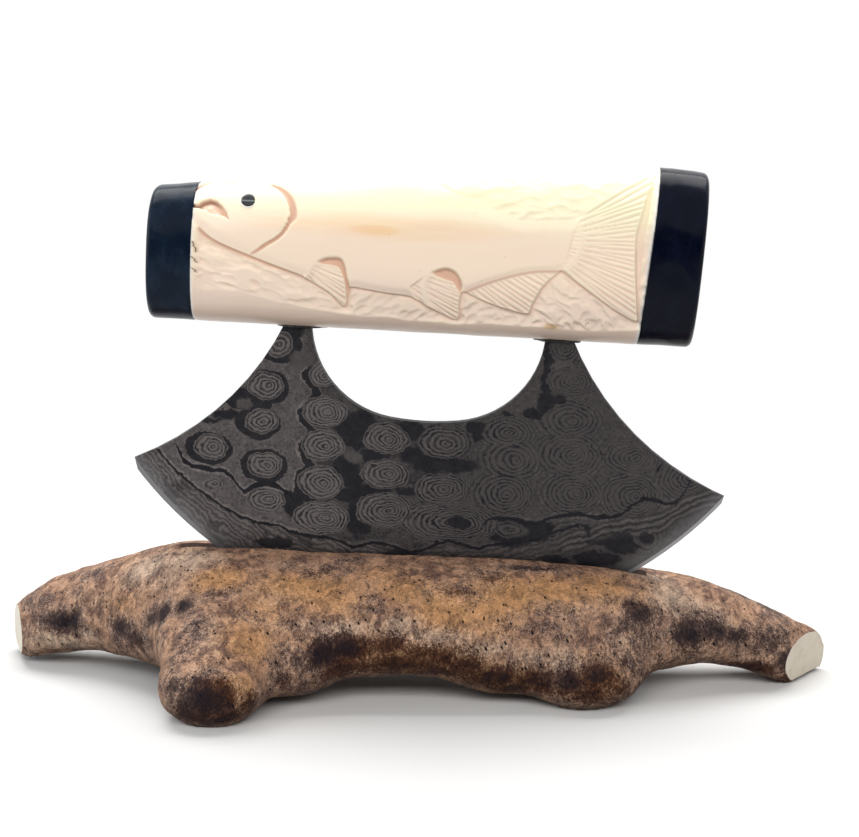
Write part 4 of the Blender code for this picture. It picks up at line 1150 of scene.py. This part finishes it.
ochrePatches = (
    (219, 579, 7, 4.4, 0.9), (309, 587, 12, 5, 0.9), (247, 643, 7, 6, 0.7), (407, 590, 9, 5, 0.7),
    (330, 600, 12, 5, 0.6), (448, 608, 9, 7, 0.9), (504, 592, 9, 6, 0.95), (490, 614, 7, 6, 0.8),
    (554, 589, 8, 5, 0.85), (602, 588, 8, 5, 0.8), (224, 692, 6, 3, 1.0), (243, 690, 4, 4, 0.9),
    (60, 640, 8, 2, 0.5), (123, 604, 7, 4, 0.4), (270, 610, 9, 6, 0.5), (380, 575, 8, 4, 0.5),
    (480, 640, 9, 3, 0.3), (585, 655, 6, 3, 0.4), (640, 590, 5, 4, 0.4), (300, 640, 6, 3, 0.3),
    (388, 655, 14, 6, 0.7), (428, 662, 14, 6, 0.7), (468, 672, 14, 6, 0.6), (508, 684, 14, 6, 0.6),
    (605, 682, 9, 5, 0.7), (236, 689, 6, 3.2, 1.0),
)
palePatches = (
    (146, 568, 11, 5, 0.8), (190, 560, 9, 5, 0.8), (56, 641, 14, 2.4, 0.95), (90, 636, 8, 2, 0.7),
    (672, 597, 7, 5, 0.8), (690, 605, 8, 4, 0.6), (565, 661, 6, 5, 0.5), (401, 624, 6, 3, 0.6),
    (337, 627, 14, 2.6, 0.5), (437, 636, 9, 2.4, 0.6), (490, 648, 7, 2.4, 0.5), (532, 659, 6, 2.4, 0.5),
    (170, 575, 8, 5, 0.5), (655, 578, 8, 3, 0.7), (160, 640, 4, 4, 0.4), (715, 611, 8, 3, 0.5),
    (95, 600, 8, 4, 0.3), (30, 640, 5, 5, 0.5), (280, 600, 6, 4, 0.3), (205, 640, 5, 8, 0.35),
    (620, 640, 5, 6, 0.3), (700, 655, 8, 2, 0.35), (345, 684, 12, 1.6, 0.5), (560, 703, 9, 1.4, 0.4),
)
photo = {"width": 859, "height": 837}


def endPlane(side):
    out, middle, turned, tilted = sawnEnds[side]
    place = Vector((side * out, middle * antler["depth"], antler["height"] * antler["endUp"]))
    turn = Matrix.Rotation(-side * turned, 4, "Z") @ Matrix.Rotation(side * tilted, 4, "Y")
    return place, (turn @ Vector((side, 0, 0))).normalized()


def closedBar():
    # the CAD's stand with its slot filled and its ends drawn out, to be melted into a finer skin
    bm = bmesh.new()
    bm.from_mesh(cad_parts["stand"].data)
    bmesh.ops.remove_doubles(bm, verts=bm.verts, dist=1e-6)
    toKnife = knifeMatrix.inverted()
    inSlot = {v for v in bm.verts if abs((toKnife @ v.co).y) < (antler["slotHalf"] + 0.02) * mm}
    walls = [f for f in bm.faces if all(v in inSlot for v in f.verts)]
    bmesh.ops.delete(bm, geom=walls, context="FACES")
    bmesh.ops.holes_fill(bm, edges=[e for e in bm.edges if e.is_boundary], sides=0)
    for side in (-1, 1):
        place, normal = endPlane(side)
        ends = {v for v in bm.verts if abs((v.co - place).dot(normal)) < 0.02 * mm}
        for v in ends:
            v.co += Vector((side, 0, -0.05)) * antler["endOut"] * mm
    bmesh.ops.recalc_face_normals(bm, faces=bm.faces)
    return newMesh("closedBar", bm)


def evaluated(mesh, kind, **settings):
    # the mesh after one modifier, as a new mesh with nothing live on it
    holder = newObject("holder", mesh)
    modifier = holder.modifiers.new("Step", kind)
    for key, value in settings.items():
        setattr(modifier, key, value)
    bpy.context.view_layer.update()
    made = bpy.data.meshes.new_from_object(holder.evaluated_get(bpy.context.evaluated_depsgraph_get()))
    bpy.data.objects.remove(holder)
    return made


def slotCutter():
    # a plate as thick as the slot, whose lower edge is the slot's shallow arc
    bm = bmesh.new()
    bmesh.ops.create_grid(bm, x_segments=40, y_segments=1, size=1)
    middle = (antler["slotRight"] - antler["slotLeft"]) / 2
    half = (antler["slotRight"] + antler["slotLeft"]) / 2
    for v in bm.verts:
        x = v.co.x * half
        floor = antler["slotFloor"] + antler["slotRadius"] - math.sqrt(antler["slotRadius"]**2 - x**2)
        v.co = (middle + x, -antler["slotHalf"], floor if v.co.y < 0 else antler["slotTop"])
    made = bmesh.ops.extrude_face_region(bm, geom=bm.faces[:])["geom"]
    bmesh.ops.translate(bm, vec=(0, 2 * antler["slotHalf"], 0),
                        verts=[v for v in made if isinstance(v, bmesh.types.BMVert)])
    bmesh.ops.recalc_face_normals(bm, faces=bm.faces)
    for face in bm.faces:
        face.material_index = 2
    placeInKnifeFrame(bm)
    return newObject("slotCutter", newMesh("slotCutter", bm))


def photoRay(px, py):
    camera = bpy.context.scene.camera
    focal = view["lens"] / view["sensor"] * photo["width"]
    ray = Vector(((px - photo["width"] / 2) / focal, (photo["height"] / 2 - py) / focal, -1))
    return camera.location, (camera.rotation_quaternion @ ray).normalized()


def paintPatches(bm, bvh, name, patches):
    places = np.array([v.co for v in bm.verts]) / mm
    made = np.zeros(len(places))
    for px, py, wide, high, strength in patches:
        hit = bvh.ray_cast(*photoRay(px, py))[0]
        if hit is None:
            continue
        away = places - np.array(hit) / mm
        across, up = away[:, 0] / wide, np.hypot(away[:, 1], away[:, 2]) / high
        share = antler["patchCore"] - antler["patchFade"] * np.hypot(across, up)
        made = np.maximum(made, strength * np.clip(share, 0, 1))
    paintLayer(bm, name, made)


def paintSides(bm):
    # how far the bark faces down, for the darker rims, which are painted shade, and how far it faces back
    facing = np.array([v.normal for v in bm.verts])
    paintLayer(bm, "undersideShade", ease(-facing[:, 2], -0.05, 0.75))
    paintLayer(bm, "behind", ease(facing[:, 1], 0.2, 0.7))


def roughenBark(bm):
    bm.normal_update()
    for v in bm.verts:
        p = v.co / mm
        lumps = noise.fractal(p * 0.09, 0.9, 2.1, 3) * antler["lumps"]
        ridges = noise.fractal(Vector((p.x * 0.14, p.y * 0.6, p.z * 0.6)), 0.8, 2.0, 3) * antler["ridges"]
        pits = max(0.0, noise.noise(p * 0.8) - 0.3) * antler["pits"]
        keep = min(1.0, max(0.0, p.z / 1.5))
        v.co += v.normal * (antler["swell"] + (lumps + ridges - pits) * keep) * mm
        v.co.z = max(0.0, v.co.z) if v.co.z > 0.3 * mm else 0.0


def makeStand(looks):
    skin = evaluated(closedBar(), "REMESH", mode="VOXEL", voxel_size=antler["voxel"])
    bm = bmesh.new()
    bm.from_mesh(skin)
    for _ in range(antler["smooth"]):
        bmesh.ops.smooth_vert(bm, verts=bm.verts, factor=0.5, use_axis_x=True, use_axis_y=True,
                              use_axis_z=True)
    roughenBark(bm)
    for v in bm.verts:
        # the left arm's tip stands clear of the table
        low = max(0.0, 1 - v.co.z / mm / antler["liftTop"])
        v.co.z += antler["lift"] * mm * low * float(ease(-v.co.x / mm, *antler["liftReach"]))
    for side in (-1, 1):
        place, normal = endPlane(side)
        for v in bm.verts:
            near = max(0.0, 1 - (place - v.co).dot(normal) / mm / antler["endTaperLength"])
            v.co -= v.normal * min(near, 1.0) ** 2 * antler["endTaper"] * mm
        everything = bm.verts[:] + bm.edges[:] + bm.faces[:]
        cut = bmesh.ops.bisect_plane(bm, geom=everything, plane_co=place, plane_no=normal, clear_outer=True)
        rim = [e for e in cut["geom_cut"] if isinstance(e, bmesh.types.BMEdge)]
        for face in bmesh.ops.holes_fill(bm, edges=rim, sides=0)["faces"]:
            face.material_index = 1
    bmesh.ops.recalc_face_normals(bm, faces=bm.faces)
    bvh = BVHTree.FromBMesh(bm)
    for name, patches in (("dark", darkPatches), ("ochre", ochrePatches), ("pale", palePatches)):
        paintPatches(bm, bvh, name, patches)
    paintSides(bm)
    shaped = newMesh("shaped", bm, looks)
    cutter = slotCutter()
    slotted = evaluated(shaped, "BOOLEAN", operation="DIFFERENCE", object=cutter, solver="EXACT")
    bpy.data.objects.remove(cutter)
    bm = bmesh.new()
    bm.from_mesh(slotted)
    bmesh.ops.triangulate(bm, faces=[f for f in bm.faces if len(f.verts) > 4])
    stand = finishPiece("antlerStand", bm, "stand", looks, ["stand"])
    for face in stand.data.polygons:
        face.use_smooth = face.material_index != 1


bark = {
    "tan": (0.43, 0.255, 0.165), "umber": (0.165, 0.085, 0.062), "ochre": (0.53, 0.275, 0.115),
    "pale": (0.6, 0.45, 0.34), "slate": (0.05, 0.032, 0.031), "brown": (0.048, 0.014, 0.007),
    "black": (0.008, 0.006, 0.01), "frost": (0.5, 0.42, 0.38),
    "stroke": math.radians(35), "shine": 0.12, "slotPlane": 9.5, "relief": 0.3,
}


def barkMaterial():
    made, shader = newMaterial("antlerBark")
    p = inMillimetres()
    split = partsOf(p)
    y = split["Y"]
    sockets = {"Vector": p, "Rotation": (0, bark["stroke"], 0), "Scale": (1, 1, 0.72)}
    slanted = put("ShaderNodeMapping", sockets).outputs[0]
    cloud, _ = useMottle(p, 8.0, 0.8, 0.3)
    wide = noiseAt(p, 0.05, 4.0, 0.6)
    middle = noiseAt(slanted, 0.34, 5.0, 0.7, 0.5)
    speck = noiseAt(slanted, 1.3, 4.0, 0.75)
    fine = noiseAt(slanted, 3.2, 2.0, 0.7)
    ragged = timesPlus(cloud, 0.3, times(middle, 0.7))
    ragged = plus(ragged, timesPlus(speck, 0.9, times(fine, 0.5)))
    ragged = minus(ragged, 1.2)

    base = timesPlus(middle, 0.6, times(cloud, 0.4))
    colour = mixColour(span(base, 0.4, 0.58), bark["umber"], bark["tan"])
    ochre = plus(attribute("ochre"), ragged)
    colour = mixColour(span(ochre, 0.1, 0.85, 0.0, 0.75), colour, bark["ochre"])
    pale = plus(attribute("pale"), ragged)
    colour = mixColour(span(pale, 0.1, 0.9, 0.0, 0.7), colour, bark["pale"])
    colour = mixColour(span(speck, 0.54, 0.68, 0.0, 0.35), colour, bark["pale"])
    colour = mixColour(1.0, colour, span(middle, 0.36, 0.62, 0.62, 1.2, smooth=False), "MULTIPLY")

    # dark weathering: slate grey with stippled borders, black in its middle, red-brown on the undersides,
    # where painted shade deepens it
    behind = times(attribute("behind"), span(wide, 0.4, 0.68, 0.0, 0.75))
    undersideShade = attribute("undersideShade")
    dark = timesPlus(undersideShade, 0.2, times(attribute("dark"), 1.12))
    dark = minus(larger(dark, behind), ragged)
    redBrownShare = times(plus(undersideShade, attribute("ochre")), 1.6, clamp=True)
    shadeColour = mixColour(redBrownShare, bark["slate"], bark["brown"])
    colour = mixColour(span(dark, 0.1, 0.75, 0.0, 0.9), colour, shadeColour)
    colour = mixColour(span(dark, 0.6, 1.1, 0.0, 0.85), colour, bark["black"])
    border = times(span(dark, -0.1, 0.2), span(dark, 0.7, 0.3))
    frost = times(border, span(fine, 0.5, 0.62, 0.0, 0.4))
    colour = mixColour(frost, colour, bark["frost"])
    shade = times(span(fine, 0.36, 0.64, 0.82, 1.18, smooth=False),
                  span(speck, 0.36, 0.6, 0.8, 1.12, smooth=False))
    colour = mixColour(1.0, colour, shade, "MULTIPLY")
    # painted shadow of the slot's gap: the bark turns brown along the slot's edge
    slotGapShadow = unsigned(minus(y, bark["slotPlane"]))
    slotGapShadow = times(span(slotGapShadow, antler["slotHalf"] + 0.7, antler["slotHalf"], 0.0, 0.85),
                     span(unsigned(split["X"]), 64, 61))
    colour = mixColour(slotGapShadow, colour, bark["brown"])

    drawn = stretched(slanted, (1, 1, 0.5))
    pores = larger(usePores(drawn, 1.7, 0.19, 0.85), times(usePores(drawn, 1.1, 0.2, 0.6), 0.6))
    colour = mixColour(pores, colour, bark["black"])
    shader.inputs["Specular IOR Level"].default_value = bark["shine"]
    height = timesPlus(speck, 1.2, timesPlus(pores, -2.0, fine))
    setLook(shader, colour, span(cloud, 0.3, 0.7, 0.5, 0.7), height, bark["relief"])
    return made


def sawnMaterial(name, light, dark):
    made, shader = newMaterial(name)
    p = inMillimetres()
    cloud, grain = useMottle(p, 4.0, 0.5, 0.4)
    colour = mixColour(span(cloud, 0.42, 0.72), light, dark)
    rough = span(grain, 0.3, 0.7, 0.5, 0.7)
    saw = noiseAt(stretched(p, (0.2, 0.2, 3.0)), 1.0, 2.0)
    setLook(shader, colour, rough, plus(grain, saw), 0.06)
    return made


# Build the pieces

ivoryLook, hornLook = ivoryMaterial(), hornMaterial()
makeCore(ivoryLook)
makeCap("hornCapLeft", -1, hornLook, "left_cap")
makeCap("hornCapRight", 1, hornLook, "right_cap")
# the pupil's lighter line across its middle is a painted reflection
makeEye(inlayMaterial("pupilInlay", (0.01, 0.012, 0.016), (0.02, 0.023, 0.028), 0.2,
                      (eye["z"], 0.22, (0.16, 0.17, 0.18))),
        inlayMaterial("ringInlay", (0.72, 0.68, 0.6), (0.88, 0.85, 0.78), 0.3))
resinLook = inlayMaterial("beddingResin", (0.008, 0.008, 0.008), (0.02, 0.018, 0.017), 0.25)
makeResin("resinLeft", -1, [(-28.9, -1.2, 0.1, 2.6, 1.6, 0.55)], resinLook, "tang_epoxy_left")
makeResin("resinRight", 1, [(28.6, -1.2, 0.1, 1.8, 1.4, 0.5), (38.2, -0.8, 0.0, 1.1, 1.3, 0.6)], resinLook,
          "tang_epoxy_right")
dress("blade", steelMaterial())
pinLook = inlayMaterial("pinSteel", (0.42, 0.41, 0.4), (0.55, 0.54, 0.52), 0.3)
pinLook.node_tree.nodes["Principled BSDF"].inputs["Metallic"].default_value = 1
for pin in ("cap_pin_left_lower", "cap_pin_left_upper", "cap_pin_right_lower", "cap_pin_right_upper"):
    dress(pin, pinLook)
# the slot's walls are near black-brown: painted shade inside the narrow slot
makeStand([barkMaterial(), sawnMaterial("antlerSawn", (0.93, 0.84, 0.7), (0.86, 0.75, 0.6)),
           sawnMaterial("antlerSlotShade", (0.035, 0.016, 0.009), (0.012, 0.006, 0.004))])


# Floor, background and light

studio = {
    "floorSize": 3.0, "fadeStart": 0.17, "fadeEnd": 0.36, "floorSeen": 0.75, "floorBounce": 0.3,
    "world": 0.27, "shadeTop": 0.34, "shadeAway": 0.8, "shadeWidth": 1.8,
    "aim": (0, 0, 0.07),
}
# lamps: place, size across and up, power, colour
lamps = {
    "overheadLight": ((-0.04, 0.44, 1.1), (1.5, 0.9), 20.0, (1, 0.99, 0.97)),
    "frontLight": ((0.03, -0.72, 0.55), (1.1, 0.3), 6.4, (1, 0.98, 0.95)),
    "sideLight": ((-0.9, -0.1, 0.3), (0.5, 0.5), 2.0, (0.75, 0.88, 1)),
}


def seenDirectly():
    rays = put("ShaderNodeLightPath").outputs
    return larger(rays["Is Camera Ray"], larger(rays["Is Glossy Ray"], rays["Is Transmission Ray"]))


def flatPiece(name, width, depth, look, matrix=Matrix()):
    bm = bmesh.new()
    bmesh.ops.create_grid(bm, x_segments=1, y_segments=1, size=0.5,
                          matrix=matrix @ Matrix.Diagonal((width, depth, 1, 1)))
    made = newObject(name, newMesh(name, bm, [look]))
    return made


def floorMaterial():
    # a pale floor near the object, which keeps its shadow and turns into plain white further out
    made, shader = newMaterial("paleFloor")
    shader.inputs["Base Color"].default_value = (studio["floorSeen"],) * 3 + (1,)
    shader.inputs["Roughness"].default_value = 0.9
    shader.inputs["Specular IOR Level"].default_value = 0.1
    dull = put("ShaderNodeBsdfDiffuse", {"Color": (studio["floorBounce"],) * 3 + (1,)}).outputs[0]
    away = vectorMaths("LENGTH", put("ShaderNodeTexCoord").outputs["Object"])["Value"]
    seen = seenDirectly()
    near = put("ShaderNodeMixShader", {0: seen, 1: dull, 2: shader.outputs[0]}).outputs[0]
    white = put("ShaderNodeEmission", {"Strength": 1.0}).outputs[0]
    factor = times(seen, span(away, studio["fadeStart"], studio["fadeEnd"]))
    mixed = put("ShaderNodeMixShader", {0: factor, 1: near, 2: white}).outputs[0]
    feed(made.node_tree.nodes["Material Output"].inputs["Surface"], mixed)
    return made


def makeStudio():
    flatPiece("floor", studio["floorSize"], studio["floorSize"], floorMaterial())
    black, shader = newMaterial("shade")
    shader.inputs["Base Color"].default_value = (0.01, 0.01, 0.012, 1)
    shader.inputs["Roughness"].default_value = 1.0
    place = Matrix.Translation((0, -studio["shadeAway"], studio["shadeTop"] / 2))
    upright = place @ Matrix.Rotation(math.pi / 2, 4, "X")
    shade = flatPiece("shade", studio["shadeWidth"], studio["shadeTop"], black, upright)
    shade.visible_camera = False

    world = bpy.data.worlds.new("studio")
    bpy.context.scene.world = world
    world.use_nodes = True
    making["tree"] = world.node_tree
    background = world.node_tree.nodes["Background"]
    feed(background.inputs["Strength"], mixFloat(seenDirectly(), studio["world"], 1.0))
    background.inputs["Color"].default_value = (1, 1, 1, 1)

    for name, (place, size, power, colour) in lamps.items():
        lamp = newObject(name, bpy.data.lights.new(name, "AREA"))
        lamp.data.shape = "RECTANGLE"
        lamp.data.size, lamp.data.size_y = size
        lamp.data.energy = power
        lamp.data.color = colour
        lamp.location = place
        lamp.rotation_mode = "QUATERNION"
        lamp.rotation_quaternion = (Vector(studio["aim"]) - Vector(place)).to_track_quat("-Z", "Y")
        lamp.visible_glossy = name != "frontLight"
        lamp.visible_camera = False
    print("studio ready")


makeStudio()
